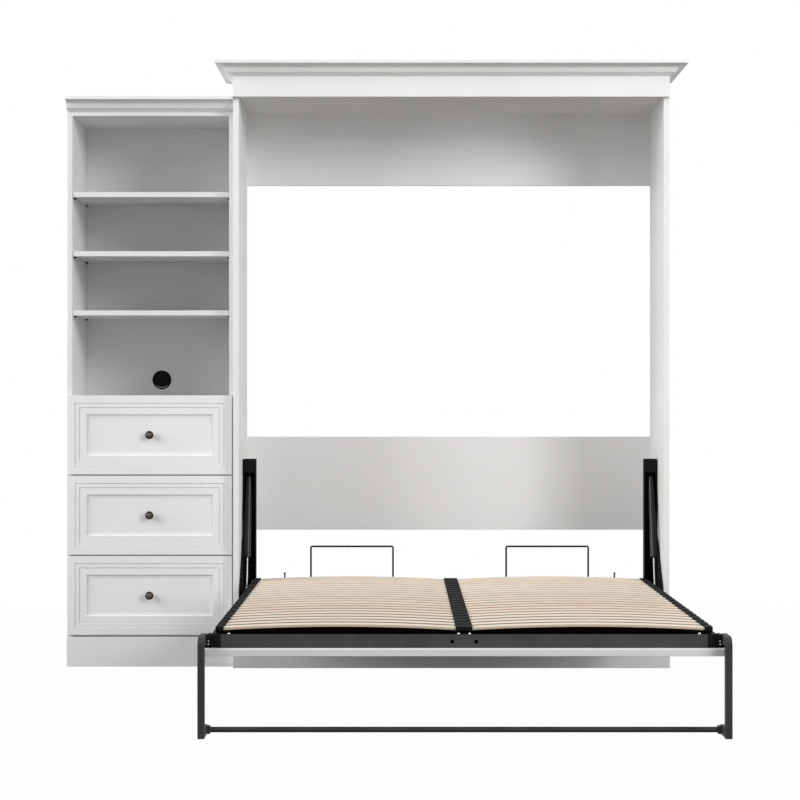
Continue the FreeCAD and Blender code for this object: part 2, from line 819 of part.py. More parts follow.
brackets = []
arms = []
leg_axis = ("leg_axis_y", "leg_axis_height")
for side_name, side in sides.items():
    block = board(
        f"bracket_block_{side_name}", across(side, "frame_half", "bracket_outer"),
        ("bracket_face", "leg_axis_y + bracket_back"), ("rail_bottom + bracket_lift", "rail_top"))
    bore = bar(f"bracket_bore_{side_name}", "x", "stub_diameter + 2 * running_clearance",
               *across(side, "frame_half - overshoot", "bracket_outer + overshoot"), leg_axis)
    brackets.append(cut(f"bracket_{side_name}", block, bore))

    half_deep = value("leg_depth") / 2
    half_wide = value("leg_width") / 2
    middle = side * (value("leg_half") - half_wide)
    front = value("leg_y")
    axle = value("leg_axis_height")
    tail = value("leg_axis_y") + value("leg_tail")
    path = rounded_path([
        Vector(middle, tail, axle),
        Vector(middle, front, axle),
        Vector(middle, front, 0),
    ], value("leg_bend"))
    blank = prism([
        Vector(middle - half_wide, tail, axle - half_deep),
        Vector(middle + half_wide, tail, axle - half_deep),
        Vector(middle + half_wide, tail, axle + half_deep),
        Vector(middle - half_wide, tail, axle + half_deep),
    ], Vector(0, -value("leg_depth"), 0))
    long_edges = [edge for edge in blank.Edges if abs(edge.tangentAt(0).y) > 0.9]
    rounded = blank.makeFillet(value("leg_corner"), long_edges)
    end_face = max(rounded.Faces, key=lambda face: face.CenterOfMass.y)
    bent = feature(f"leg_bent_{side_name}", path.makePipeShell([end_face.OuterWire], True, False))
    stub = bar(f"leg_stub_{side_name}", "x", "stub_diameter",
               *across(side, "frame_half", "leg_half - leg_width / 2"), leg_axis)
    collar = board(
        f"leg_collar_{side_name}", across(side, "crossbar_half", "leg_half - leg_width / 2"),
        ("crossbar_y - collar_side / 2", "crossbar_y + collar_side / 2"),
        ("crossbar_height - collar_side / 2", "crossbar_height + collar_side / 2"))
    foot = board(f"leg_foot_{side_name}", across(side, "leg_inner", "leg_half"),
                 ("leg_y", "leg_y + foot_length"), ("0", "leg_depth"))
    arms.append(join(f"leg_arm_{side_name}", bent, stub, collar, foot))
node("leg_brackets", group("leg_brackets", *brackets))
node("leg_arms", group("leg_arms", *arms))
node("leg_crossbar", bar(
    "leg_crossbar", "x", "crossbar_diameter", "0 - crossbar_half", "crossbar_half",
    ("crossbar_y", "crossbar_height")))


# Shelf and drawer unit: boards

unit_across = ("unit_left", "unit_right")
bay_across = ("bay_left", "bay_right")
unit_sides = {"unit_side_left": ("unit_left", "bay_left"), "unit_side_right": ("bay_right", "unit_right")}
for name, x in unit_sides.items():
    node(name, board(name, x, ("unit_front", "wall_y"), ("0", "unit_top_height + crown_height")))
node("unit_top", board(
    "unit_top", bay_across, ("unit_front", "back_y"), ("unit_top_height - unit_board", "unit_top_height")))
node("unit_deck", board(
    "unit_deck", bay_across, ("unit_front", "back_y"), ("deck_top - unit_board", "deck_top")))
node("unit_bottom", board(
    "unit_bottom", bay_across, ("unit_front", "back_y"),
    ("unit_plinth_height", "unit_plinth_height + unit_board")))
node("unit_plinth", board(
    "unit_plinth", unit_across, ("unit_front - plinth_thickness", "unit_front"), ("0", "unit_plinth_height")))
unit_corner = Vector(value("unit_left"), value("unit_front"), value("unit_top_height"))
node("unit_crown", feature("unit_crown", crown_face(
    unit_corner, Vector(0, -1, 0)).extrude(Vector(value("unit_width"), 0, 0))))
back_blank = board("unit_back_blank", bay_across, ("back_y", "wall_y"),
                   ("unit_plinth_height", "unit_top_height"))
ring_centre = ("unit_middle", "ring_height")
back_hole = bar("unit_back_hole", "y", "ring_bore + 2 * ring_flange + 2 * running_clearance",
                "back_y - overshoot", "wall_y + overshoot", ring_centre)
node("unit_back", cut("unit_back", back_blank, back_hole))

shelf_pins = []
shelves = []
for number in range(int(value("shelf_count"))):
    top = f"shelf_top - {number} * shelf_pitch"
    shelves.append(board(
        f"shelf_{number}", ("bay_left + shelf_clearance", "bay_right - shelf_clearance"),
        ("unit_front + shelf_setback", "back_y"), (f"{top} - unit_board", top)))
    for end_name, y in (("front", "unit_front + pin_inset"), ("back", "back_y - pin_inset")):
        level = f"{top} - unit_board - pin_diameter / 2"
        for hand, x in (("left", ("bay_left", "bay_left + pin_length")),
                        ("right", ("bay_right - pin_length", "bay_right"))):
            shelf_pins.append(bar(f"shelf_pin_{number}_{end_name}_{hand}", "x", "pin_diameter", *x, (y, level)))
node("unit_shelves", group("unit_shelves", *shelves))
node("shelf_pins", group("shelf_pins", *shelf_pins))

back_screws = []
for side_name, side in sides.items():
    back_screws.append(bar(
        f"back_screw_{side_name}", "y", "screw_diameter", "back_y - screw_thickness", "back_y",
        (f"unit_middle + {side} * screw_spread / 2", "screw_height")))
node("back_screws", group("back_screws", *back_screws))

ring_flange = bar("ring_flange_disc", "y", "ring_diameter", "back_y - ring_flange", "back_y", ring_centre)
ring_sleeve = bar("ring_sleeve", "y", "ring_bore + 2 * ring_flange", "back_y", "wall_y", ring_centre)
ring_hole = bar("ring_hole", "y", "ring_bore", "back_y - ring_flange - overshoot", "wall_y + overshoot",
                ring_centre)
ring_tube = cut("ring_tube", join("ring_body", ring_flange, ring_sleeve), ring_hole)
shutter_disc = bar("shutter_disc", "y", "ring_bore + ring_flange", "shutter_front",
                   "shutter_front + shutter_thickness", ring_centre)
shutter_window = board("shutter_window", ("unit_middle - ring_bore", "unit_middle + ring_bore"),
                       ("back_y", "wall_y"), ("shutter_top", "ring_height + ring_bore"))
node("cable_ring", join("cable_ring", ring_tube, cut("ring_shutter", shutter_disc, shutter_window)))
cap_disc = bar("cap_disc", "y", "ring_bore - 2 * running_clearance", "back_y - ring_flange",
               "back_y - ring_flange + cap_thickness", ring_centre)
cap_slot = board("cap_slot", ("unit_middle - slot_width / 2", "unit_middle + slot_width / 2"),
                 ("back_y - ring_flange - overshoot", "wall_y"),
                 ("slot_bottom - overshoot", "slot_bottom + slot_depth"))
node("cable_cap", cut("cable_cap", cap_disc, cap_slot))


# Drawers: front with a stepped moulding, box of five boards, knob and runners

def drawer_front(number, bottom):
    top = f"{bottom} + front_height"

    def recess(name, inset, depth):
        return board(f"{name}_{number}", (f"front_left + {inset}", f"front_right - ({inset})"),
                     ("front_face - overshoot", f"front_face + {depth}"),
                     (f"{bottom} + {inset}", f"{top} - ({inset})"))

    slab = board(f"front_slab_{number}", ("front_left", "front_right"), ("front_face", "front_back"),
                 (bottom, top))
    first = recess("front_first", "frame_flat", "frame_step_depth")
    second = recess("front_second", "frame_flat + frame_step", "2 * frame_step_depth")
    edge = "(frame_flat + frame_step + frame_band)"
    ramp = doc.addObject("Part::Wedge", f"front_ramp_{number}")
    bind(ramp, "Xmin", "0")
    bind(ramp, "Zmin", "0")
    bind(ramp, "Ymin", "0")
    bind(ramp, "Xmax", f"front_right - front_left - 2 * {edge}")
    bind(ramp, "Zmax", f"front_height - 2 * {edge}")
    bind(ramp, "Ymax", "panel_depth - 2 * frame_step_depth")
    bind(ramp, "X2min", "frame_ramp")
    bind(ramp, "Z2min", "frame_ramp")
    bind(ramp, "X2max", f"front_right - front_left - 2 * {edge} - frame_ramp")
    bind(ramp, "Z2max", f"front_height - 2 * {edge} - frame_ramp")
    bind(ramp, "Placement.Base.x", f"front_left + {edge}")
    bind(ramp, "Placement.Base.y", "front_face + 2 * frame_step_depth")
    bind(ramp, "Placement.Base.z", f"{bottom} + {edge}")
    return cut(f"drawer_front_{number}", slab, first, second, ramp)


def drawer_box(number, bottom):
    low = f"{bottom} + box_lift"
    high = f"{low} + box_height"
    left = "bay_left + runner_total"
    right = "bay_right - runner_total"
    near = "front_back"
    far = "front_back + box_depth"
    inside = (f"{left} + box_board", f"{right} - box_board")
    boards = {
        "left": ((left, f"{left} + box_board"), (near, far), (low, high)),
        "right": ((f"{right} - box_board", right), (near, far), (low, high)),
        "near": (inside, (near, f"{near} + box_board"), (low, high)),
        "far": (inside, (f"{far} - box_board", far), (low, high)),
        "base": (inside, (f"{near} + box_board", f"{far} - box_board"), (low, f"{low} + box_bottom")),
    }
    return [board(f"box_{name}_{number}", *spans) for name, spans in boards.items()]


# Knob turned about the drawer's own Y axis: base, neck and domed head
def knob(number):
    body = doc.addObject("PartDesign::Body", f"knob_body_{number}")
    sketch = body.newObject("Sketcher::SketchObject", f"knob_section_{number}")
    plane = [item for item in body.Origin.OriginFeatures if item.Role == "XY_Plane"][0]
    sketch.AttachmentSupport = [(plane, "")]
    sketch.MapMode = "FlatFace"
    reach = -value("knob_projection")
    base = value("knob_base") / 2
    head = value("knob_diameter") / 2
    neck = value("knob_neck") / 2
    rim = -value("knob_rim")
    rise = rim - reach
    dome = (head ** 2 + rise ** 2) / (2 * rise)
    half_angle = math.asin(head / dome) / 2
    shoulder = Vector(dome * math.sin(half_angle), reach + dome * (1 - math.cos(half_angle)), 0)
    corners = [(0, 0), (base, 0), (base, -value("knob_base_end")), (neck, -value("knob_neck_start")),
               (neck, -value("knob_neck_end")), (head, rim)]
    for first, second in zip(corners, corners[1:]):
        sketch.addGeometry(Part.LineSegment(Vector(*first, 0), Vector(*second, 0)))
    sketch.addGeometry(Part.Arc(Vector(head, rim, 0), shoulder, Vector(0, reach, 0)))
    sketch.addGeometry(Part.LineSegment(Vector(0, reach, 0), Vector(0, 0, 0)))
    turned = body.newObject("PartDesign::Revolution", f"knob_turned_{number}")
    turned.Profile = sketch
    turned.ReferenceAxis = (sketch, ["V_Axis"])
    turned.Angle = 360
    return body


cabinet_runners = []
for number in range(1, int(value("drawer_count")) + 1):
    bottom = f"front_bottom + ({number} - 1) * (front_height + front_gap)"
    node(f"drawer_front_{number}", drawer_front(number, bottom))
    node(f"drawer_box_{number}", group(f"drawer_box_{number}", *drawer_box(number, bottom)))
    knob_body = knob(number)
    bind(knob_body, "Placement.Base.x", "(front_left + front_right) / 2")
    bind(knob_body, "Placement.Base.y", "front_face + panel_depth")
    bind(knob_body, "Placement.Base.z", f"{bottom} + front_height / 2")
    node(f"drawer_knob_{number}", knob_body)
    low = f"{bottom} + box_lift + runner_lift"
    slim = f"({low} + (runner_height - runner_inner_height) / 2)"
    along = ("front_back + box_board", "front_back + box_depth")
    drawer_runners = []
    for hand, outer, inner in (
            ("left", ("bay_left", "bay_left + runner_thickness"),
             ("bay_left + runner_thickness + runner_gap", "bay_left + runner_total")),
            ("right", ("bay_right - runner_thickness", "bay_right"),
             ("bay_right - runner_total", "bay_right - runner_thickness - runner_gap"))):
        cabinet_runners.append(board(
            f"cabinet_runner_{number}_{hand}", outer, along, (low, f"{low} + runner_height")))
        drawer_runners.append(board(
            f"drawer_runner_{number}_{hand}", inner, along, (slim, f"{slim} + runner_inner_height")))
    node(f"drawer_runners_{number}", group(f"drawer_runners_{number}", *drawer_runners))
node("cabinet_runners", group("cabinet_runners", *cabinet_runners))


# Every object must have been made, and every piece must be sound, before anything is written

doc.recompute()
failed = [item.Label for item in doc.Objects if "Invalid" in item.State or "Error" in item.State]
if failed:
    raise RuntimeError("not made: " + ", ".join(failed))
for item in nodes:
    if item.Shape.isNull() or not item.Shape.isValid() or not item.Shape.Solids:
        raise RuntimeError("not a sound shape: " + item.Label)
for item in nodes:
    item.Shape.exportStep(os.path.join("parts", item.Label + ".step"))
    box = item.Shape.BoundBox
    print(item.Label, len(item.Shape.Solids), round(item.Shape.Volume / 1000),
          [round(number, 1) for number in (box.XMin, box.XMax, box.YMin, box.YMax, box.ZMin, box.ZMax)])
print(len(nodes), "nodes")
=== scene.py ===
import math
import bpy
import numpy as np
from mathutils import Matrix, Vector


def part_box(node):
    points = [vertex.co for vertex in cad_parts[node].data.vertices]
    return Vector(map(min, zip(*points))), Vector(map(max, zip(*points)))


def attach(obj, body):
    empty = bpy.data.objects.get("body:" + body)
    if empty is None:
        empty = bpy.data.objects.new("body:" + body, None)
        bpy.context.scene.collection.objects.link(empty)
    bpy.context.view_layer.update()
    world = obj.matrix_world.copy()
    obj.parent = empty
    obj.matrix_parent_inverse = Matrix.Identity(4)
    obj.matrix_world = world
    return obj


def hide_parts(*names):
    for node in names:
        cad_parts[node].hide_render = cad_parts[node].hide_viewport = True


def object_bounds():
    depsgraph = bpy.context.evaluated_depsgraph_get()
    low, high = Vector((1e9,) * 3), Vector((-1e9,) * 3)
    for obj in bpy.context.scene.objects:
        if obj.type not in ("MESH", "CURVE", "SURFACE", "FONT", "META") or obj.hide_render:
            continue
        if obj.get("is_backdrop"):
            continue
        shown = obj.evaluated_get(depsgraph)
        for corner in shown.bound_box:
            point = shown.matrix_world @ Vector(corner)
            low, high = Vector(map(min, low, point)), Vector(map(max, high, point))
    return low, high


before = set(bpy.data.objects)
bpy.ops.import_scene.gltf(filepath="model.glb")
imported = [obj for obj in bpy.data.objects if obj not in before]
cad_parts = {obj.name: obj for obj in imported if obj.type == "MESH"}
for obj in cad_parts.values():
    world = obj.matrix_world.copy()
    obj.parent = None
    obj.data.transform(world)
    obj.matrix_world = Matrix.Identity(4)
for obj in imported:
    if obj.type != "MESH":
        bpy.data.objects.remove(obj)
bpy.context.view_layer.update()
mm = 0.001
clearance = 0.05  # drawn gap round a seated or turning piece, in millimetres
leftRight = {"left": -1, "right": 1}
print("frame loaded:", len(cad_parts), "nodes")


# surfaces: every shape is a stack of rings, in millimetres

# a skin over rings (k, m, 3): neighbours joined by quads, ends capped, or the last ring joined to the first
def skin(rings, closed=False):
    rings = np.asarray(rings, float)
    rows, columns = rings.shape[:2]
    row, column = np.meshgrid(np.arange(rows if closed else rows - 1), np.arange(columns), indexing="ij")
    row, column = row.ravel(), column.ravel()
    nextRow, nextColumn = (row + 1) % rows, (column + 1) % columns
    quads = np.stack([row * columns + column, row * columns + nextColumn,
                      nextRow * columns + nextColumn, nextRow * columns + column], axis=1)
    points = rings.reshape(-1, 3)
    caps = [] if closed else [np.arange(columns)[::-1], np.arange(columns) + (rows - 1) * columns]
    a, b, c, d = (points[quads[:, i]] - points[0] for i in range(4))
    volume = np.sum(a * np.cross(b, c)) + np.sum(a * np.cross(c, d))
    for cap in caps:
        fan = points[cap] - points[0]
        volume += np.sum(fan[0] * np.cross(fan[1:-1], fan[2:]))
    if volume < 0:  # faces point inwards, so turn them round
        quads = quads[:, ::-1]
        caps = [cap[::-1] for cap in caps]
    return points, quads, caps


# rectangle with quarter circles for corners, centred on zero
def roundRect(width, height, radius, steps=4):
    signs = np.array([[1, 1], [-1, 1], [-1, -1], [1, -1]])
    centres = signs * [width / 2 - radius, height / 2 - radius]
    turn = np.arange(4)[:, None] * np.pi / 2 + np.linspace(0, np.pi / 2, steps + 1)
    arcs = np.stack([np.cos(turn), np.sin(turn)], axis=-1) * radius
    return (centres[:, None] + arcs).reshape(-1, 2)


# polygon with each corner replaced by an arc tangent to both of its sides
def roundCorners(corners, radius, steps=5):
    corners = np.asarray(corners, float)
    radius = np.broadcast_to(np.asarray(radius, float), len(corners))[:, None]
    before = np.roll(corners, 1, 0) - corners
    after = np.roll(corners, -1, 0) - corners
    before /= np.linalg.norm(before, axis=1, keepdims=True)
    after /= np.linalg.norm(after, axis=1, keepdims=True)
    half = np.arccos(np.clip(np.sum(before * after, axis=1, keepdims=True), -1, 1)) / 2
    middle = before + after
    middle /= np.linalg.norm(middle, axis=1, keepdims=True)
    centre = corners + middle * radius / np.sin(half)
    first = corners + before * radius / np.tan(half) - centre
    last = corners + after * radius / np.tan(half) - centre
    start = np.arctan2(first[:, 1], first[:, 0])
    sweep = np.arctan2(last[:, 1], last[:, 0]) - start
    sweep = (sweep + np.pi) % (2 * np.pi) - np.pi
    angle = start[:, None] + sweep[:, None] * np.linspace(0, 1, steps + 1)
    arcs = np.stack([np.cos(angle), np.sin(angle)], axis=-1) * radius[:, :, None]
    return (centre[:, None] + arcs).reshape(-1, 2)


# outlines (k, m, 2) set across one axis at k levels; the outline's directions are the next two axes
def across(outlines, axis, levels):
    outlines = np.asarray(outlines, float)
    rings = np.empty(outlines.shape[:2] + (3,))
    rings[..., axis] = np.asarray(levels, float)[:, None]
    rings[..., (axis + 1) % 3] = outlines[..., 0]
    rings[..., (axis + 2) % 3] = outlines[..., 1]
    return rings


# outline moved inwards along its own normals
def drawnIn(outline, amount):
    tangent = np.roll(outline, -1, 0) - np.roll(outline, 1, 0)
    normal = np.stack([tangent[:, 1], -tangent[:, 0]], axis=1)
    normal /= np.linalg.norm(normal, axis=1, keepdims=True)
    area = np.sum(outline[:, 0] * np.roll(outline[:, 1], -1) - outline[:, 1] * np.roll(outline[:, 0], -1))
    return outline - normal * np.sign(area) * amount


# outline carried along one axis, with both ends rounded over by a quarter circle
def slab(outline, axis, low, high, edge):
    angle = np.radians([0, 30, 60, 90])
    draw = edge * (1 - np.sin(angle))
    step = edge * (1 - np.cos(angle))
    draw = np.concatenate([draw, draw[::-1]])
    levels = np.concatenate([low + step, high - step[::-1]])
    return skin(across([drawnIn(outline, amount) for amount in draw], axis, levels))


# a board between two corners, all its edges rounded
def board(low, high, edge=0.9):
    low, high = np.asarray(low, float), np.asarray(high, float)
    axis = int(np.argmax(high - low))
    sides = [(axis + 1) % 3, (axis + 2) % 3]
    size = (high - low)[sides]
    outline = roundRect(size[0], size[1], edge) + ((high + low) / 2)[sides]
    return slab(outline, axis, low[axis], high[axis], edge)


# open-ended tube: outer outline along one axis and the inner outline back again
def hollow(outer, inner, axis, low, high):
    return skin(across([outer, outer, inner, inner], axis, [low, high, high, low]), closed=True)


# profile of (along, radius) turned about a line; hexAt names the profile rows that are hexagons
def lathe(profile, origin, direction, steps=32, closed=False, hexAt=()):
    profile = np.asarray(profile, float)
    direction = np.asarray(direction, float) / np.linalg.norm(direction)
    helper = np.array([0.0, 0.0, 1.0]) if abs(direction[2]) < 0.9 else np.array([1.0, 0.0, 0.0])
    side = np.cross(direction, helper)
    side /= np.linalg.norm(side)
    up = np.cross(direction, side)
    angle = np.arange(steps) * 2 * np.pi / steps
    flat = np.cos((angle + np.pi / 6) % (np.pi / 3) - np.pi / 6)
    radius = np.repeat(profile[:, 1:], steps, axis=1)
    for row in hexAt:
        radius[row] /= flat
    spokes = np.cos(angle)[:, None] * side + np.sin(angle)[:, None] * up
    return skin(np.asarray(origin, float) + profile[:, None, :1] * direction + radius[..., None] * spokes, closed)


# straight round hole for makePiece to drill, from start to end along a direction
def drillHole(origin, direction, radius, end, start=-2, steps=32):
    return lathe([(start, radius), (end, radius)], origin, direction, steps)


# polyline with a tangent arc at every inner corner, as points and their directions
def bentPath(corners, radius, steps=10):
    corners = np.asarray(corners, float)
    points, heading = [corners[0]], []
    for before, corner, after in zip(corners, corners[1:], corners[2:]):
        come = (corner - before) / np.linalg.norm(corner - before)
        leave = (after - corner) / np.linalg.norm(after - corner)
        turn = np.arccos(np.dot(come, leave))
        reach = radius * np.tan(turn / 2)
        inward = leave - come * np.dot(come, leave)
        inward /= np.linalg.norm(inward)
        angle = np.linspace(0, turn, steps + 1)[:, None]
        arc = corner - come * reach + radius * (np.sin(angle) * come + (1 - np.cos(angle)) * inward)
        heading += [come] if not heading else []
        points.extend(arc)
        heading.extend(np.cos(angle) * come + np.sin(angle) * inward)
    points.append(corners[-1])
    heading.append(heading[-1])
    return np.array(points), np.array(heading)


# outline carried along a path, with its two directions given at every point
def carried(outline, path, side, up):
    return path[:, None] + outline[None, :, :1] * side[:, None] + outline[None, :, 1:] * up[:, None]


def meshObject(name, shells):
    points, faces, start = [], [], 0
    for shellPoints, quads, caps in shells:
        points.append(shellPoints)
        faces.extend((quads + start).tolist())
        faces.extend((cap + start).tolist() for cap in caps)
        start += len(shellPoints)
    mesh = bpy.data.meshes.new(name)
    mesh.from_pydata((np.concatenate(points) * mm).tolist(), [], faces)
    piece = bpy.data.objects.new(name, mesh)
    bpy.context.scene.collection.objects.link(piece)
    return piece


# a finished piece: drilled where asked, shaded smooth up to an angle, riding on its body in place of CAD nodes
def makePiece(name, shells, material, body, nodes, holes=(), angle=38):
    piece = meshObject(name, shells)
    if holes:
        bit = meshObject("drillBit", holes)
        drill = piece.modifiers.new("drill", "BOOLEAN")
        drill.object = bit
        drill.solver = "EXACT"
        drilled = piece.evaluated_get(bpy.context.evaluated_depsgraph_get())
        mesh = bpy.data.meshes.new_from_object(drilled)
        piece.modifiers.remove(drill)
        piece.data = mesh
        bpy.data.objects.remove(bit)
    piece.data.materials.clear()
    piece.data.materials.append(material)
    piece.data.shade_smooth()
    piece.data.set_sharp_from_angle(angle=math.radians(angle))
    flatten = piece.modifiers.new("flatFacesStayFlat", "WEIGHTED_NORMAL")
    flatten.keep_sharp = True
    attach(piece, body)
    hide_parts(*nodes)
    return piece


# materials

# sRGB hex to the linear colour that a shader takes
def hexColour(code):
    value = np.array([int(code[i:i + 2], 16) for i in (1, 3, 5)]) / 255
    linear = np.where(value <= 0.04045, value / 12.92, ((value + 0.055) / 1.055) ** 2.4)
    return (*linear.tolist(), 1.0)


# adds one node: settings are its properties, inputs take a number, a colour or another node's socket
def addNode(tree, kind, settings=(), inputs=()):
    node = tree.nodes.new("ShaderNode" + kind)
    for key, value in dict(settings).items():
        if key == "ramp":
            for element, (position, colour) in zip(node.color_ramp.elements, value):
                element.position = position
                element.color = colour
        else:
            setattr(node, key, value)
    for key, value in dict(inputs).items():
        if isinstance(value, bpy.types.NodeSocket):
            tree.links.new(value, node.inputs[key])
        else:
            node.inputs[key].default_value = value
    return node


# an empty material with its shader, its object coordinates and the tree to add to
def startMaterial(name, **values):
    material = bpy.data.materials.new(name)
    material.use_nodes = True
    tree = material.node_tree
    tree.nodes.clear()
    shader = addNode(tree, "BsdfPrincipled", (), {key.replace("_", " "): value for key, value in values.items()})
    addNode(tree, "OutputMaterial", (), {"Surface": shader.outputs[0]})
    return material, tree, shader, addNode(tree, "TexCoord").outputs["Object"]


# links sockets into a shader's inputs
def feed(tree, shader, sockets):
    for key, socket in sockets.items():
        tree.links.new(socket, shader.inputs[key])


# how many noise features fit in a metre when one is this many millimetres wide
def perMetre(size):
    return 1000 / size


# a surface whose colour drifts between two tones and whose fine grain gives bump and roughness;
# the optional (colour, Y, Z) is painted shade: every face above Z from Y on takes that dark matt colour without shine
def grainedMaterial(name, tones, driftSize, grainSize, rough, bump, lift, paintedShadeFace=None, **values):
    material, tree, shader, coords = startMaterial(name, **values)
    drift = addNode(tree, "TexNoise", (), {"Vector": coords, "Scale": perMetre(driftSize), "Detail": 3.0})
    colour = addNode(tree, "ValToRGB", {"ramp": [(0.35, hexColour(tones[0])), (0.65, hexColour(tones[1]))]},
                     {"Fac": drift.outputs["Fac"]})
    grain = addNode(tree, "TexNoise", (), {"Vector": coords, "Scale": perMetre(grainSize), "Detail": 2.0})
    gloss = addNode(tree, "MapRange", (), {"Value": grain.outputs["Fac"], "From Min": 0.3, "From Max": 0.7,
                                           "To Min": rough[0], "To Max": rough[1]})
    relief = addNode(tree, "Bump", (), {"Height": grain.outputs["Fac"], "Strength": bump, "Distance": lift * mm})
    # painted shade: faces above Z from Y on are painted dark, with their shine taken off
    if paintedShadeFace:
        place = addNode(tree, "SeparateXYZ", (), {"Vector": coords})
        behind = addNode(tree, "Math", {"operation": "GREATER_THAN"}, {0: place.outputs["Y"], 1: paintedShadeFace[1] * mm})
        above = addNode(tree, "Math", {"operation": "GREATER_THAN"}, {0: place.outputs["Z"], 1: paintedShadeFace[2] * mm})
        both = addNode(tree, "Math", {"operation": "MULTIPLY"}, {0: behind.outputs[0], 1: above.outputs[0]})
        colour = addNode(tree, "MixRGB", {"blend_type": "MIX"},
                         {"Fac": both.outputs[0], "Color1": colour.outputs["Color"], "Color2": hexColour(paintedShadeFace[0])})
        shine = addNode(tree, "MapRange", (), {"Value": both.outputs[0],
                                               "To Min": values.get("Specular_IOR_Level", 0.5), "To Max": 0.0})
        feed(tree, shader, {"Specular IOR Level": shine.outputs["Result"]})
    feed(tree, shader, {"Base Color": colour.outputs["Color"], "Roughness": gloss.outputs["Result"],
                        "Normal": relief.outputs["Normal"]})
    return material


# melamine-faced board, pressed with a satin pearl grain: soft highlights, almost even white (grain drawn at 3 mm)
def melamineBoard(name, tones, paintedShadeFace=None):
    return grainedMaterial(name, tones, 420, 3, (0.5, 0.62), 0.12, 0.05, paintedShadeFace, IOR=1.5)


whiteLaminate = melamineBoard("whiteMelamineBoard", ("#e6e6e6", "#ebebeb"))
# painted shade: the same board made greyer for the carcass and shelves of the shelf unit, standing in for the dimmer
# light in and around the unit
unitLaminatePaintedShade = melamineBoard("whiteMelamineCarcassPaintedShade", ("#dcdcdc", "#e1e1e1"))
# the white board again for the door, with painted shade: the face that lies under the slats is painted black without
# shine, standing in for the shadow there
doorLaminatePaintedShade = melamineBoard("whiteMelamineDoorPaintedShade", ("#e6e6e6", "#ebebeb"), ("#101010", -1690.5, 259.6))
# foil wrapped over shaped MDF: smoother than the board, with a faint orange peel of about 8 mm
whiteFoil = grainedMaterial("whiteFoilOnMdf", ("#e8e8e8", "#ececec"), 300, 8, (0.42, 0.5), 0.08, 0.06, IOR=1.5)
# baked black powder coat on steel: fine pebbled skin, low gloss
blackPowder = grainedMaterial("blackPowderCoat", ("#0d0d0d", "#121212"), 90, 2.5, (0.55, 0.7), 0.25, 0.08, IOR=1.5,
                              Specular_IOR_Level=0.1)


# grey powder coats: the same pebbled skin, a little smoother
def greyCoat(name, tones, shine, paintedShadeFace=None):
    return grainedMaterial(name, tones, 90, 2.5, (0.5, 0.65), 0.22, 0.08, paintedShadeFace, IOR=1.5, Specular_IOR_Level=shine)


# dark grey on the front rail, with painted shade: its top face under the slats is painted black without shine
greyPowder = greyCoat("greyPowderCoatPaintedShade", ("#414142", "#494949"), 0.08, ("#0c0c0c", -3000, 300))
# charcoal on the leg: between the black and the grey
charcoalPowder = greyCoat("charcoalPowderCoat", ("#373738", "#3f3f3f"), 0.12)
# black stove enamel on the gas cylinders: smooth, with clear highlights
blackEnamel = grainedMaterial("blackStoveEnamel", ("#0b0b0b", "#0f0f0f"), 120, 6, (0.2, 0.28), 0.03, 0.02, IOR=1.5,
                              Specular_IOR_Level=0.25)
# zinc-plated steel: bright, slightly cloudy, with fine spangles of about 4 mm
zincPlate = grainedMaterial("zincPlatedSteel", ("#989b9d", "#b2b4b5"), 25, 4, (0.26, 0.42), 0.1, 0.03, Metallic=1.0)
# hard chrome on the piston rods: mirror-like, a little drawn
hardChrome = grainedMaterial("hardChrome", ("#7a7c7e", "#868889"), 40, 3, (0.2, 0.3), 0.04, 0.02, Metallic=1.0)
# moulded black polypropylene: matt, with a fine spark-eroded grain
blackPlastic = grainedMaterial("blackPolypropylene", ("#0c0c0c", "#111111"), 60, 1.5, (0.66, 0.8), 0.25, 0.06,
                               IOR=1.49, Specular_IOR_Level=0.1)
# polished black ABS of the cable outlet: dark, with a sharp shine at its rims
glossPlastic = grainedMaterial("polishedBlackAbs", ("#0b0b0b", "#0f0f0f"), 60, 4, (0.2, 0.28), 0.03, 0.02, IOR=1.53,
                               Specular_IOR_Level=0.05)
# moulded white polypropylene caps
whitePlastic = grainedMaterial("whitePolypropylene", ("#e6e6e6", "#ededed"), 60, 1.5, (0.4, 0.52), 0.12, 0.04,
                               IOR=1.49)


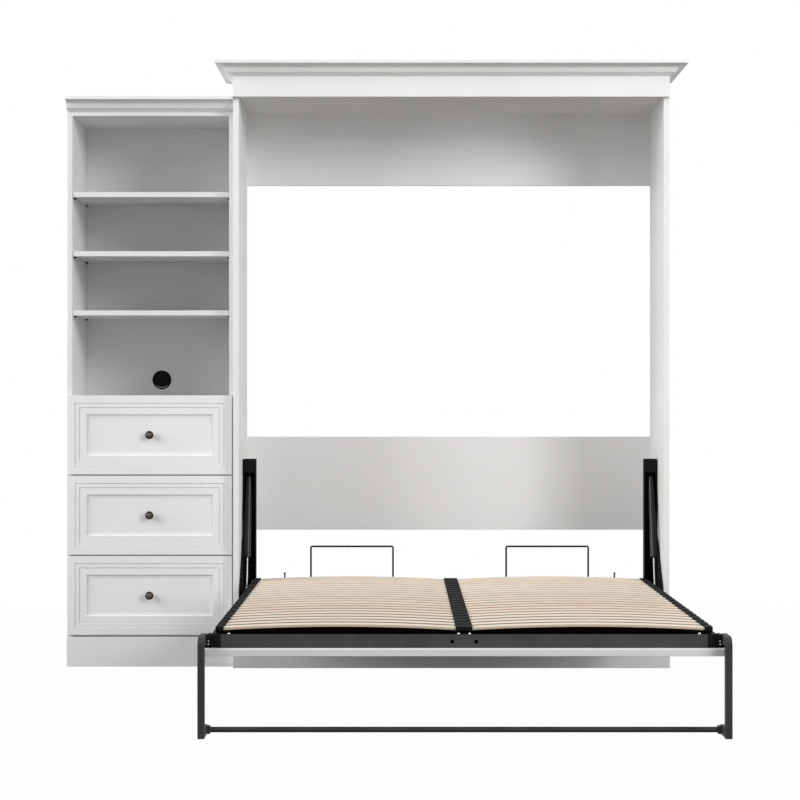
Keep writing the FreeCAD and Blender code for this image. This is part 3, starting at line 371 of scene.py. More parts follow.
# sliced beech veneers glued in layers: pale, with short brown ray flecks and darker edges of the layers
def beechPly(slat):
    material, tree, shader, coords = startMaterial("beechPlywood", IOR=1.5)
    streaks = addNode(tree, "Mapping", (), {"Vector": coords, "Scale": (perMetre(900), perMetre(12), perMetre(40))})
    streak = addNode(tree, "TexNoise", (), {"Vector": streaks.outputs["Vector"], "Scale": 1.0, "Detail": 4.0})
    fleckPlace = addNode(tree, "Mapping", (), {"Vector": coords, "Scale": (perMetre(22), perMetre(2), perMetre(30))})
    fleck = addNode(tree, "TexNoise", (), {"Vector": fleckPlace.outputs["Vector"], "Scale": 1.0, "Detail": 1.0})
    wood = addNode(tree, "ValToRGB", {"ramp": [(0.3, hexColour("#dfcebb")), (0.7, hexColour("#ebdfd2"))]},
                   {"Fac": streak.outputs["Fac"]})
    flecks = addNode(tree, "MapRange", (), {"Value": fleck.outputs["Fac"], "From Min": 0.62, "From Max": 0.72,
                                            "To Min": 0.0, "To Max": 0.08})
    flecked = addNode(tree, "MixRGB", {"blend_type": "MULTIPLY"},
                      {"Fac": flecks.outputs["Result"], "Color1": wood.outputs["Color"],
                       "Color2": hexColour("#b08f68")})
    # every slat has its own tone, keyed on its row number along the bed and its column
    place = addNode(tree, "SeparateXYZ", (), {"Vector": coords})
    row = addNode(tree, "MapRange", {"clamp": False},
                  {"Value": place.outputs["Y"], "From Min": slat["firstY"] * mm,
                   "From Max": (slat["firstY"] + slat["pitch"]) * mm, "To Min": 0.0, "To Max": 1.0})
    rowNumber = addNode(tree, "Math", {"operation": "FLOOR"}, {0: row.outputs["Result"]})
    column = addNode(tree, "Math", {"operation": "SIGN"}, {0: place.outputs["X"]})
    key = addNode(tree, "CombineXYZ", (), {"X": rowNumber.outputs[0], "Y": column.outputs[0]})
    tone = addNode(tree, "TexWhiteNoise", {"noise_dimensions": "2D"}, {"Vector": key.outputs[0]})
    light = addNode(tree, "MapRange", (), {"Value": tone.outputs["Value"], "To Min": 0.97, "To Max": 1.05})
    # painted light: paler towards the head end, and a little on the right
    paintedLightTowardsHead = addNode(tree, "MapRange", (), {"Value": rowNumber.outputs[0], "From Max": slat["count"] - 1.0,
                                           "To Min": 0.98, "To Max": 1.08})
    paintedLightHeadAndRight = addNode(tree, "Math", {"operation": "MULTIPLY_ADD"}, {0: column.outputs[0], 1: 0.025, 2: paintedLightTowardsHead.outputs[0]})
    value = addNode(tree, "Math", {"operation": "MULTIPLY"}, {0: light.outputs["Result"], 1: paintedLightHeadAndRight.outputs[0]})
    # neighbouring slats come from one log, so the wood is warmer in bands 1.1 m apart
    band = addNode(tree, "MapRange", {"clamp": False},
                   {"Value": place.outputs["Y"], "From Min": slat["warmY"] * mm,
                    "From Max": (slat["warmY"] + slat["warmPitch"]) * mm, "To Min": 0.0, "To Max": 2 * math.pi})
    swing = addNode(tree, "Math", {"operation": "COSINE"}, {0: band.outputs["Result"]})
    warm = addNode(tree, "MapRange", (), {"Value": swing.outputs[0], "From Min": -1.0, "From Max": 1.0,
                                          "To Min": 1.0, "To Max": 1.4})
    toned = addNode(tree, "HueSaturation", (), {"Value": value.outputs[0], "Saturation": warm.outputs["Result"],
                                                "Color": flecked.outputs["Color"]})
    # glue lines between the veneers show on the edges, one every 1.3 mm of the thickness
    layer = addNode(tree, "Attribute", {"attribute_name": "plyHeight"})
    wave = addNode(tree, "Math", {"operation": "MULTIPLY"},
                   {0: layer.outputs["Fac"], 1: 2 * math.pi * perMetre(1.3)})
    stripe = addNode(tree, "Math", {"operation": "SINE"}, {0: wave.outputs[0]})
    facing = addNode(tree, "SeparateXYZ", (), {"Vector": addNode(tree, "TexCoord").outputs["Normal"]})
    edgeOn = addNode(tree, "Math", {"operation": "LESS_THAN"}, {0: facing.outputs["Z"], 1: 0.5})
    glue = addNode(tree, "MapRange", (), {"Value": stripe.outputs[0], "From Min": 0.2, "From Max": 0.6,
                                          "To Min": 0.7, "To Max": 1.0})
    shade = addNode(tree, "Math", {"operation": "MULTIPLY"}, {0: edgeOn.outputs[0], 1: glue.outputs["Result"]})
    # painted shade on the edges, standing in for the shadow in the gaps between slats: darkest at the foot end and
    # paler towards the head, but the first slat's edge, which no slat shades, is painted lighter
    fade = addNode(tree, "MapRange", (), {"Value": rowNumber.outputs[0], "From Min": 1.0,
                                          "From Max": slat["count"] - 1.0})
    paintedShadeEdgeTone = addNode(tree, "ValToRGB", {"ramp": [(0.0, hexColour("#7a6651")), (1.0, hexColour("#d6c7b5"))]},
                       {"Fac": fade.outputs["Result"]})
    first = addNode(tree, "Math", {"operation": "LESS_THAN"}, {0: rowNumber.outputs[0], 1: 0.5})
    edge = addNode(tree, "MixRGB", {"blend_type": "MIX"},
                   {"Fac": first.outputs[0], "Color1": paintedShadeEdgeTone.outputs["Color"], "Color2": hexColour("#c8b6a2")})
    ply = addNode(tree, "MixRGB", {"blend_type": "MIX"},
                  {"Fac": shade.outputs[0], "Color1": toned.outputs["Color"], "Color2": edge.outputs["Color"]})
    gloss = addNode(tree, "MapRange", (), {"Value": streak.outputs["Fac"], "To Min": 0.38, "To Max": 0.6})
    relief = addNode(tree, "Bump", (), {"Height": streak.outputs["Fac"], "Strength": 0.2, "Distance": 0.15 * mm})
    feed(tree, shader, {"Base Color": ply.outputs["Color"], "Roughness": gloss.outputs["Result"],
                        "Normal": relief.outputs["Normal"]})
    return material


# how far a point lies from a line along Y and how high above it; with a pitch the line repeats along Z
def fromLine(tree, coords, axisX, axisZ, pitch=None):
    place = addNode(tree, "SeparateXYZ", (), {"Vector": coords})
    aside = addNode(tree, "Math", {"operation": "SUBTRACT"}, {0: place.outputs["X"], 1: axisX * mm})
    level = addNode(tree, "Math", {"operation": "SUBTRACT"}, {0: place.outputs["Z"], 1: axisZ * mm})
    if pitch:
        level = addNode(tree, "Math", {"operation": "WRAP"},
                        {0: level.outputs[0], 1: pitch / 2 * mm, 2: -pitch / 2 * mm})
    spot = addNode(tree, "CombineXYZ", (), {"X": aside.outputs[0], "Y": level.outputs[0]})
    away = addNode(tree, "VectorMath", {"operation": "LENGTH"}, {0: spot.outputs[0]})
    return away.outputs["Value"], level.outputs[0]


# oil-rubbed bronze: nearly black towards the rim, brown in the middle of the dome, partly wear where hands touch and
# partly a painted highlight where the dome faces the front; knobs repeat every pitch along Z
def bronzeWithPaintedHighlight(axisX, axisZ, pitch):
    material, tree, shader, coords = startMaterial("oilRubbedBronzePaintedHighlight", Metallic=0.85)
    wearAndHighlightRadius, darkRadius = 5, 13.5
    away = fromLine(tree, coords, axisX, axisZ, pitch)[0]
    share = addNode(tree, "MapRange", (), {"Value": away, "From Min": wearAndHighlightRadius * mm, "From Max": darkRadius * mm})
    # brown middle: wear and a painted highlight; nearly black towards the rim
    wearAndHighlight = addNode(tree, "ValToRGB", {"ramp": [(0.0, hexColour("#54493d")), (1.0, hexColour("#15120f"))]},
                   {"Fac": share.outputs["Result"]})
    patina = addNode(tree, "TexNoise", (), {"Vector": coords, "Scale": perMetre(6), "Detail": 4.0})
    mottle = addNode(tree, "MapRange", (), {"Value": patina.outputs["Fac"], "To Min": 0.75, "To Max": 1.15})
    colour = addNode(tree, "HueSaturation", (), {"Value": mottle.outputs["Result"], "Color": wearAndHighlight.outputs["Color"]})
    gloss = addNode(tree, "MapRange", (), {"Value": patina.outputs["Fac"], "To Min": 0.3, "To Max": 0.55})
    feed(tree, shader, {"Base Color": colour.outputs["Color"], "Roughness": gloss.outputs["Result"]})
    return material


# polished black ABS whose inner rim, between two radii, carries a painted highlight below a level, over a short fade:
# pale grey standing in for light caught by the lower rim
def absWithPaintedRimHighlight(axisX, axisZ, rim, below, fade):
    material, tree, shader, coords = startMaterial("blackAbsPaintedRimHighlight", Roughness=0.25, IOR=1.53, Specular_IOR_Level=0.05)
    away, level = fromLine(tree, coords, axisX, axisZ)
    within = addNode(tree, "Math", {"operation": "COMPARE"},
                     {0: away, 1: (rim[0] + rim[1]) / 2 * mm, 2: (rim[1] - rim[0]) / 2 * mm})
    low = addNode(tree, "MapRange", (), {"Value": level, "From Min": -(below + fade) * mm,
                                         "From Max": -below * mm, "To Min": 1.0, "To Max": 0.0})
    paintedRimHighlight = addNode(tree, "Math", {"operation": "MULTIPLY"}, {0: within.outputs[0], 1: low.outputs["Result"]})
    colour = addNode(tree, "MixRGB", {"blend_type": "MIX"}, {"Fac": paintedRimHighlight.outputs[0], "Color1": hexColour("#0d0d0d"),
                                                             "Color2": hexColour("#b5b5b5")})
    feed(tree, shader, {"Base Color": colour.outputs["Color"]})
    return material


print("materials ready")


# flat boards: each takes its corners from its CAD node

boards = {
    "cabinet": ["bed_side_left", "bed_side_right", "bed_top", "bed_fascia", "bed_lower_rail", "bed_plinth",
                "unit_side_left", "unit_side_right", "unit_top", "unit_deck", "unit_bottom", "unit_plinth"],
    "bed": ["door_panel"],
}
boardLooks = {"door_panel": doorLaminatePaintedShade, "unit_side_left": unitLaminatePaintedShade, "unit_side_right": unitLaminatePaintedShade}
boardEdge = 0.9


def cornersOf(node):
    low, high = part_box(node)
    return np.array(low) / mm, np.array(high) / mm


for body, names in boards.items():
    for name in names:
        makePiece(name + "_board", [board(*cornersOf(name), boardEdge)], boardLooks.get(name, whiteLaminate), body,
                  [name])

# backs with their holes: four wall screws each, closed by the front laminate until they are used, and the cable hole
wallScrews = {"spread": 600, "rise": 80, "radius": 3.5, "skin": 0.6, "depth": 20}
# the values for the disc behind the slot place painted shade; the values for the rim set a painted highlight on the
# ring's lower inner rim
cable = {"x": -1125.5, "z": 1076, "bore": 29, "wall": 3, "flange": 37, "lip": 3, "slotHalf": 12, "slotDepth": 11,
         "slotCorner": 3, "capThick": 5, "capEdge": 0.5, "holeDepth": 20, "shadeDiscTop": 1061, "shadeDiscFront": 460,
         "shadeDiscThick": 2, "shadeDiscEdge": 0.2, "paintedRimHighlight": 20, "paintedHighlightRim": (-1, 2.4), "paintedHighlightFade": 3}
for name in ("bed_upper_back", "bed_headboard"):
    low, high = cornersOf(name)
    level = (low[2] + high[2]) / 2
    drillings = [drillHole((x * wallScrews["spread"], low[1], level + z * wallScrews["rise"]), (0, 1, 0),
                           wallScrews["radius"], wallScrews["depth"], wallScrews["skin"])
                 for x in (-1, 1) for z in (-1, 1)]
    makePiece(name + "_board", [board(low, high, boardEdge)], whiteLaminate, "cabinet", [name],
              drillings)
low, high = cornersOf("unit_back")
backFace = low[1]
cableHole = drillHole((cable["x"], backFace, cable["z"]), (0, 1, 0), cable["bore"] + cable["wall"] + clearance,
                      cable["holeDepth"], steps=64)
makePiece("unit_back_board", [board(low, high, boardEdge)], whiteLaminate, "cabinet", ["unit_back"],
          [cableHole])

shelf = {"count": 3, "top": 1776.905, "pitch": 222.0427, "thickness": 19, "left": -1418, "right": -833, "front": 61.5,
         "back": 457.5}
shelves = []
for number in range(shelf["count"]):
    top = shelf["top"] - number * shelf["pitch"]
    shelves.append(board((shelf["left"], shelf["front"], top - shelf["thickness"]),
                         (shelf["right"], shelf["back"], top), boardEdge))
makePiece("shelves", shelves, unitLaminatePaintedShade, "cabinet", ["unit_shelves"])
print("boards ready")


# crown moulding: foot, ovolo bead, quirk, cove and top fillet, carried round the cabinet with mitred corners

crown = {"height": 48, "reach": 62, "foot": 10, "bead": 14, "fillet": 12, "step": 3, "quirk": 2, "arcSteps": 12,
         "ease": 0.8, "easeMiddle": 0.29, "mitreGap": 0.1}


def crownProfile():
    angle = np.linspace(0, np.pi / 2, crown["arcSteps"])
    foot, bead, step = crown["foot"], crown["bead"], crown["step"]
    ovolo = np.stack([foot + bead * np.sin(angle), step + bead * (1 - np.cos(angle))], axis=1)
    coveStart, coveEnd = foot + bead + step, crown["reach"] - step
    coveLow, coveHigh = step + bead + crown["quirk"], crown["height"] - crown["fillet"]
    cove = np.stack([coveEnd - (coveEnd - coveStart) * np.cos(angle), coveLow + (coveHigh - coveLow) * np.sin(angle)],
                    axis=1)
    bulge = crown["easeMiddle"]
    ease = crown["ease"] * (1 - np.array([[0, 1], [bulge, bulge], [1, 0]]))
    lowerRim = np.array([crown["reach"], coveHigh]) + np.array([[-1, 0], [-bulge, bulge], [0, 1]]) * crown["ease"]
    upperRim = np.array([crown["reach"], crown["height"]]) - ease[::-1]
    return np.concatenate([[[0, 0], [foot, 0]], ovolo, [[coveStart, step + bead]], cove, lowerRim, upperRim,
                           [[0, crown["height"]]]])


profile = crownProfile()
away, lift = profile[:, 0], profile[:, 1]
corner = {"x": 813, "y": -9.5, "z": 2206, "wall": 473.5}


def crownRing(x, y, z):
    return np.stack(np.broadcast_arrays(x, y, z), axis=1)


frontRun = skin([crownRing(side * (corner["x"] + away - crown["mitreGap"]), corner["y"] - away, corner["z"] + lift)
                 for side in (-1, 1)])
returns = [skin([crownRing(side * (corner["x"] + away), y, corner["z"] + lift)
                 for y in (corner["y"] - away + crown["mitreGap"], corner["wall"])]) for side in (-1, 1)]
makePiece("crown_front", [frontRun], whiteFoil, "cabinet", ["bed_crown_front"])
makePiece("crown_returns", returns, whiteFoil, "cabinet", ["bed_crown_returns"])
unitEdge = {"left": -1438, "right": -813, "front": 59.5, "top": 2081}
unitRun = skin([crownRing(x, unitEdge["front"] - away, unitEdge["top"] + lift)
                for x in (unitEdge["left"], unitEdge["right"])])
makePiece("unit_crown_run", [unitRun], whiteFoil, "cabinet", ["unit_crown"])
print("crown ready")


# drawers

drawer = {"left": -1435.5, "right": -820, "face": 37.5, "back": 57.5, "bottom": 118, "height": 296, "gap": 4,
          "boxLeft": -1406.7, "boxRight": -844.3, "boxDepth": 370, "boxLift": 36, "boxHeight": 200, "wall": 14,
          "base": 8, "runnerLift": 30, "runnerHeight": 44, "memberHeight": 30, "bayLeft": -1419, "bayRight": -832,
          "runnerThick": 6, "runnerCorner": 0.4, "runnerEdge": 0.3, "sheet": 1.2, "panelDepth": 9}
# section of the front from its outer edge to the sunk panel, as (inset, depth): two quirked steps, a sharp drop and a
# shallow ramp
frontSection = np.array([
    (0, 20), (0, 0.8), (0.25, 0.25), (0.8, 0), (27.9, 0), (28.3, 0.3), (28.6, 3.2), (30.2, 3.2), (30.5, 1.8),
    (30.9, 1.5), (43.9, 1.5), (44.3, 1.8), (44.6, 4.7), (46.2, 4.7), (46.5, 3.3), (46.9, 3), (70.6, 3), (71.2, 3.2),
    (71.6, 3.8), (71.8, 6.4), (72.4, 6.8), (83.4, 8.8), (84.2, 9), (85.4, 9)])


def drawerFront(bottom):
    inset, depth = frontSection[:, :1], frontSection[:, 1:]
    x = np.concatenate([drawer["left"] + inset, drawer["right"] - inset, drawer["right"] - inset,
                        drawer["left"] + inset], axis=1)
    z = np.concatenate([bottom + inset, bottom + inset, bottom + drawer["height"] - inset,
                        bottom + drawer["height"] - inset], axis=1)
    y = np.repeat(drawer["face"] + depth, 4, axis=1)
    return skin(np.stack([x, y, z], axis=-1))


def drawerBox(bottom):
    low = bottom + drawer["boxLift"]
    high = low + drawer["boxHeight"]
    left, right = drawer["boxLeft"], drawer["boxRight"]
    near, far = drawer["back"], drawer["back"] + drawer["boxDepth"]
    wall = drawer["wall"]
    return [board((left, near, low), (left + wall, far, high)),
            board((right - wall, near, low), (right, far, high)),
            board((left + wall, near, low), (right - wall, near + wall, high)),
            board((left + wall, far - wall, low), (right - wall, far, high)),
            board((left + wall, near + wall, low), (right - wall, far - wall, low + drawer["base"]))]


# rolled C-shaped rail along Y, its open side towards the drawer (+1) or the cabinet (-1)
def runner(x0, x1, low, high, opens):
    sheet = drawer["sheet"]
    lip = (high - low) / 4
    shut, mouth = (x0, x1) if opens > 0 else (x1, x0)
    inner = shut + sheet * opens
    section = [(shut, low), (mouth, low), (mouth, low + lip), (mouth - sheet * opens, low + lip),
               (mouth - sheet * opens, low + sheet), (inner, low + sheet), (inner, high - sheet),
               (mouth - sheet * opens, high - sheet), (mouth - sheet * opens, high - lip), (mouth, high - lip),
               (mouth, high), (shut, high)]
    outline = roundCorners(np.array(section)[:, ::-1], drawer["runnerCorner"], 2)
    return slab(outline, 1, drawer["back"] + drawer["wall"], drawer["back"] + drawer["boxDepth"],
                drawer["runnerEdge"])


# turned knob as (height above the panel, radius): foot, neck, and a domed head with a ring cut in its rim
knobSection = [(0, 9.6), (0.4, 10), (2.6, 10), (3.4, 9.4), (4.6, 7.2), (6, 6.1), (8.6, 5.8), (11, 6.2), (13, 8.6),
               (14.6, 12.4), (15.6, 14.6), (16.2, 15.3), (16.9, 15.5), (17.6, 15.3), (18, 14.7), (18.6, 14.6),
               (20.2, 13.6), (22.4, 11.4), (24.4, 8.6), (25.9, 5.4), (26.7, 2.6), (27, 0.3)]
bronze = bronzeWithPaintedHighlight((drawer["left"] + drawer["right"]) / 2, drawer["bottom"] + drawer["height"] / 2,
                      drawer["height"] + drawer["gap"])
cabinetRunners = []
for number in (1, 2, 3):
    bottom = drawer["bottom"] + (number - 1) * (drawer["height"] + drawer["gap"])
    body = f"drawer_{number}"
    makePiece(f"drawer_front_{number}_panel", [drawerFront(bottom)], whiteFoil, body, [f"drawer_front_{number}"],
              angle=24)
    makePiece(f"drawer_box_{number}_boards", drawerBox(bottom), whiteLaminate, body, [f"drawer_box_{number}"])
    knobPlace = ((drawer["left"] + drawer["right"]) / 2, drawer["face"] + drawer["panelDepth"],
                 bottom + drawer["height"] / 2)
    makePiece(f"drawer_knob_{number}_turned", [lathe(knobSection, knobPlace, (0, -1, 0), 48)], bronze, body,
              [f"drawer_knob_{number}"])
    low = bottom + drawer["boxLift"] + drawer["runnerLift"]
    slim = low + (drawer["runnerHeight"] - drawer["memberHeight"]) / 2
    thick = drawer["runnerThick"]
    cabinetRunners += [
        runner(drawer["bayLeft"], drawer["bayLeft"] + thick, low, low + drawer["runnerHeight"], 1),
        runner(drawer["bayRight"] - thick, drawer["bayRight"], low, low + drawer["runnerHeight"], -1)]
    members = [runner(drawer["boxLeft"] - thick, drawer["boxLeft"], slim, slim + drawer["memberHeight"], -1),
               runner(drawer["boxRight"], drawer["boxRight"] + thick, slim, slim + drawer["memberHeight"], 1)]
    makePiece(f"drawer_runners_{number}_rails", members, zincPlate, body, [f"drawer_runners_{number}"])
makePiece("cabinet_runners_rails", cabinetRunners, zincPlate, "cabinet", ["cabinet_runners"])
print("drawers ready")


# small fittings of the shelf unit: pins, screw caps, cable ring and its cap

pin = {"radius": 3, "inset": 40}
# pin as (length, radius): collar at the panel, groove, shank and rounded tip
shelfPinSection = [(0, 2.9), (1.2, 2.9), (1.5, 2.5), (2.1, 2.5), (2.4, 3), (8, 3), (8.7, 2.6), (9, 1.8)]
pins = []
for number in range(shelf["count"]):
    level = shelf["top"] - number * shelf["pitch"] - shelf["thickness"] - pin["radius"]
    for y in (unitEdge["front"] + pin["inset"], backFace - pin["inset"]):
        for x, way in ((drawer["bayLeft"], 1), (drawer["bayRight"], -1)):
            pins.append(lathe(shelfPinSection, (x, y, level), (way, 0, 0), 20))
makePiece("shelf_pins_moulded", pins, blackPlastic, "cabinet", ["shelf_pins"])

screwCap = {"spread": 164, "z": 1715.84}
screwCapSection = [(0, 5.5), (0.7, 5.5), (1.3, 5), (1.7, 3.8), (1.9, 2), (2, 0.3)]
caps = [lathe(screwCapSection, (cable["x"] + side * screwCap["spread"], backFace, screwCap["z"]), (0, -1, 0), 24)
        for side in (-1, 1)]
makePiece("back_screw_caps", caps, whitePlastic, "cabinet", ["back_screws"])

bore, sleeve, flange, lip = cable["bore"], cable["bore"] + cable["wall"], cable["flange"], cable["lip"]
# ring as (depth, radius): rounded mouth, face, rounded rim of the flange, sleeve through the back panel
ringSection = [(-lip + 2, bore), (-lip + 0.8, bore + 0.4), (-lip + 0.2, bore + 1), (-lip, bore + 2),
               (-lip, flange - 2.4), (-lip + 0.5, flange - 1.2), (-lip + 1.4, flange - 0.3), (-0.6, flange),
               (0, flange), (0, sleeve), (15.6, sleeve), (16, sleeve - 0.6), (16, bore)]
ring = lathe(ringSection, (cable["x"], backFace, cable["z"]), (0, 1, 0), 64, closed=True)
# black disc behind the slot, painted shade standing in for the dark inside of the hole: the part of a disc below a
# level line
shadeDiscRadius = bore + cable["wall"] / 2
rise = math.asin((cable["z"] - cable["shadeDiscTop"]) / shadeDiscRadius)
angle = np.linspace(np.pi + rise, 2 * np.pi - rise, 40)
shadeDiscOutline = np.stack([np.sin(angle), np.cos(angle)], axis=1) * shadeDiscRadius + [cable["z"], cable["x"]]
shadeDisc = slab(shadeDiscOutline, 1, cable["shadeDiscFront"], cable["shadeDiscFront"] + cable["shadeDiscThick"],
               cable["shadeDiscEdge"])
# the ring's material paints a pale highlight on its lower inner rim
paintedHighlightRing = absWithPaintedRimHighlight(cable["x"], cable["z"], [bore + width for width in cable["paintedHighlightRim"]], cable["paintedRimHighlight"],
                       cable["paintedHighlightFade"])
makePiece("cable_ring_moulded", [ring, shadeDisc], paintedHighlightRing, "cabinet", ["cable_ring"])


# disc with a cable slot in its lower edge, as an outline in X and Z seen from the wall
def capOutline():
    radius = bore - clearance
    half = math.asin(cable["slotHalf"] / radius)
    angle = np.linspace(-np.pi / 2 + half, 1.5 * np.pi - half, 56)
    rim = np.stack([np.cos(angle), np.sin(angle)], axis=1) * radius
    roof = -bore + cable["slotDepth"]
    turn = np.linspace(0, np.pi / 2, 5)
    curl = cable["slotCorner"]
    left = np.stack([-cable["slotHalf"] + curl * (1 - np.cos(turn)), roof - curl * (1 - np.sin(turn))], axis=1)
    right = left[::-1] * [-1, 1]
    return np.concatenate([rim, left, right]) + [cable["x"], cable["z"]]


capFront = backFace - lip
disc = slab(capOutline()[:, ::-1], 1, capFront, capFront + cable["capThick"], cable["capEdge"])
makePiece("cable_cap_disc", [disc], glossPlastic, "cable_cap", ["cable_cap"])
print("fittings ready")


# side mechanism: plates, channels, caps, pins, bolts

steel = {"plateInner": 788, "plateOuter": 792, "channelInner": 741, "channelFront": 209.5, "channelBack": 259.5,
         "channelLow": 304, "channelHigh": 769, "wall": 3, "capDrop": 48, "tabInner": 757, "tabLow": 255,
         "edge": 0.5, "boltRadius": 6.5, "boltHeight": 5}
pivot = {"y": 55.5, "z": 280.5, "shaft": 8, "flange": 15, "flangeThick": 4, "flangeEdge": 1, "tip": 1.5, "inner": 724}
gas = {"x": 768, "topY": 234.5, "topZ": 719, "footY": 85.5, "footZ": 288.5, "head": 15, "length": 335, "radius": 12,
       "bore": 10.8, "rod": 4, "rodLength": 240, "eye": 9, "eyeHalf": 4, "eyeBore": 4.05, "pin": 4,
       "boreStart": 27, "neck": 4, "sunk": 1.5}
plateCorners = [(21.5, 255), (21.5, 300), (209.5, 490), (209.5, 769), (259.5, 769), (259.5, 255)]
plateRadius = [14, 10, 24, 4, 4, 10]
foldRadius = [1, 5, 5, 1, 1, 2, 2, 1]
capRadius = [0.8, 5, 0.8, 0.8, 1.5, 0.8]
boltPlaces = [(69.5, 322.5), (101.5, 358.5), (193.5, 456)]
plates, channels, channelCaps, mechanismPins, plateBolts = [], [], [], [], []
# button head with a hexagon socket, as (height, radius) rows; the last rows are the socket
buttonHead = np.array([(0, 1), (0.1, 1), (0.45, 0.93), (0.75, 0.76), (0.95, 0.56), (1, 0.5), (1, 0.4), (0.35, 0.4),
                       (0.35, 0.05)])
socketRows = (6, 7)


def button(origin, direction, radius, height):
    return lathe(buttonHead * [height, radius], origin, direction, 36, hexAt=socketRows)


for side in leftRight.values():
    plate = roundCorners(plateCorners, plateRadius)
    start, end = sorted((side * steel["plateInner"], side * steel["plateOuter"]))
    plates.append(slab(plate, 0, start, end, steel["edge"]))
    # channel seen from above: a folded sheet, open to the front
    inner, outer = steel["channelInner"], steel["plateInner"]
    front, back, wall = steel["channelFront"], steel["channelBack"], steel["wall"]
    fold = np.array([(inner, front), (inner, back), (outer, back), (outer, front), (outer - wall, front),
                     (outer - wall, back - wall), (inner + wall, back - wall), (inner + wall, front)])
    channels.append(slab(roundCorners(fold * [side, 1], foldRadius), 2, steel["channelLow"], steel["channelHigh"],
                         steel["edge"]))
    start, end = sorted((side * steel["tabInner"], side * outer))
    channels.append(board((start, back - wall, steel["tabLow"]), (end, back, steel["channelLow"] + wall),
                          steel["edge"]))
    # cap seen from the side: a front flap folded over into a lid
    high = steel["channelHigh"]
    bend = [(front - wall, high - steel["capDrop"]), (front - wall, high + wall), (back, high + wall), (back, high),
            (front, high), (front, high - steel["capDrop"])]
    start, end = sorted((side * inner, side * outer))
    channelCaps.append(slab(roundCorners(bend, capRadius), 0, start, end, steel["edge"]))
    # pivot pin from the plate inwards: flange, shaft, chamfered tip
    thick, shaft = pivot["flangeThick"], pivot["shaft"]
    reach = steel["plateInner"] - pivot["inner"]
    edge, tip = pivot["flangeEdge"], pivot["tip"]
    pinSection = [(0, pivot["flange"]), (thick - edge, pivot["flange"]), (thick, pivot["flange"] - edge),
                  (thick, shaft), (reach - tip, shaft), (reach, shaft - tip)]
    mechanismPins.append(lathe(pinSection, (side * steel["plateInner"], pivot["y"], pivot["z"]), (-side, 0, 0), 40))
    topReach = outer - inner - 2 * wall
    mechanismPins.append(lathe([(0, gas["pin"]), (topReach, gas["pin"])],
                               (side * (outer - wall), gas["topY"], gas["topZ"]), (-side, 0, 0), 24))
    for y, z in boltPlaces:
        plateBolts.append(button((side * steel["plateInner"], y, z), (-side, 0, 0), steel["boltRadius"],
                                 steel["boltHeight"]))
for node, make, shells in (("mechanism_plates", "cut", plates), ("uprights", "folded", channels),
                           ("upright_caps", "folded", channelCaps), ("mechanism_pins", "turned", mechanismPins),
                           ("plate_bolts", "button", plateBolts)):
    makePiece(f"{node}_{make}", shells, blackPowder, "cabinet", [node])

# gas springs: cylinder with a rolled end and open bore, chromed rod, pressed eyes
gasDown = np.array([0, gas["footY"] - gas["topY"], gas["footZ"] - gas["topZ"]])
gasDown /= np.linalg.norm(gasDown)
head, radius, length = gas["head"], gas["radius"], gas["length"]
# cylinder as (length, radius): shoulder, tube, rolled groove, rounded end, and back up the bore
cylinderSection = [(head, 5), (head + 0.6, 9), (head + 2, radius - 0.8), (head + 4, radius),
                   (length - 19, radius), (length - 17.5, radius - 0.7), (length - 15, radius - 0.7),
                   (length - 13.5, radius), (length - 2, radius), (length - 0.4, radius - 0.4), (length, radius - 0.9),
                   (length, gas["bore"]), (gas["boreStart"], gas["bore"]), (gas["boreStart"], 0.5)]


# pressed eye across X: a short sleeve with rounded rims
def eye(y, z, side):
    half, outside, inside = gas["eyeHalf"], gas["eye"], gas["eyeBore"]
    section = [(-half, inside + 0.4), (-half, outside - 1.2), (-half + 0.4, outside - 0.4), (-half + 1.2, outside),
               (half - 1.2, outside), (half - 0.4, outside - 0.4), (half, outside - 1.2), (half, inside + 0.4),
               (half - 0.4, inside), (-half + 0.4, inside)]
    return lathe(section, (side * gas["x"], y, z), (1, 0, 0), 36, closed=True)


for name, side in leftRight.items():
    top = np.array([side * gas["x"], gas["topY"], gas["topZ"]])
    foot = np.array([side * gas["x"], gas["footY"], gas["footZ"]])
    neck = lathe([(gas["eye"] - gas["sunk"], gas["neck"]), (head + 1, gas["neck"])], top, gasDown, 24)
    makePiece(f"gas_cylinder_{name}_turned", [eye(gas["topY"], gas["topZ"], side), neck,
                                              lathe(cylinderSection, top, gasDown, 40)],
              blackEnamel, f"gas_cylinder_{name}", [f"gas_cylinder_{name}"])
    rodSection = [(gas["eye"] - gas["sunk"], gas["rod"]), (gas["rodLength"] - 1, gas["rod"]),
                  (gas["rodLength"], gas["rod"] - 1)]
    makePiece(f"gas_rod_{name}_turned", [eye(gas["footY"], gas["footZ"], side), lathe(rodSection, foot, -gasDown, 24)],
              hardChrome, f"gas_rod_{name}", [f"gas_rod_{name}"])
print("mechanism ready")


# bed frame: welded rectangular tubes

rail = {"half": 754, "width": 30, "low": 260, "high": 301, "wall": 2, "front": -1690.5, "back": 314.5, "depth": 40,
        "centre": 20, "corner": 4, "ease": 0.8, "boss": 17, "bossStart": 752, "bossEnd": 762, "bossEdge": 2,
        "hole": 6, "holeSpread": 35.5, "holeZ": 278.5}
# stud of the piston rod as (length, radius): shoulder, journal in the eye, keeper
studSection = [(0, 7), (9, 7), (9.7, 6.4), (9.7, 4), (18.3, 4), (18.3, 6.1), (18.7, 6.5), (20.4, 6.5), (21, 5.6)]


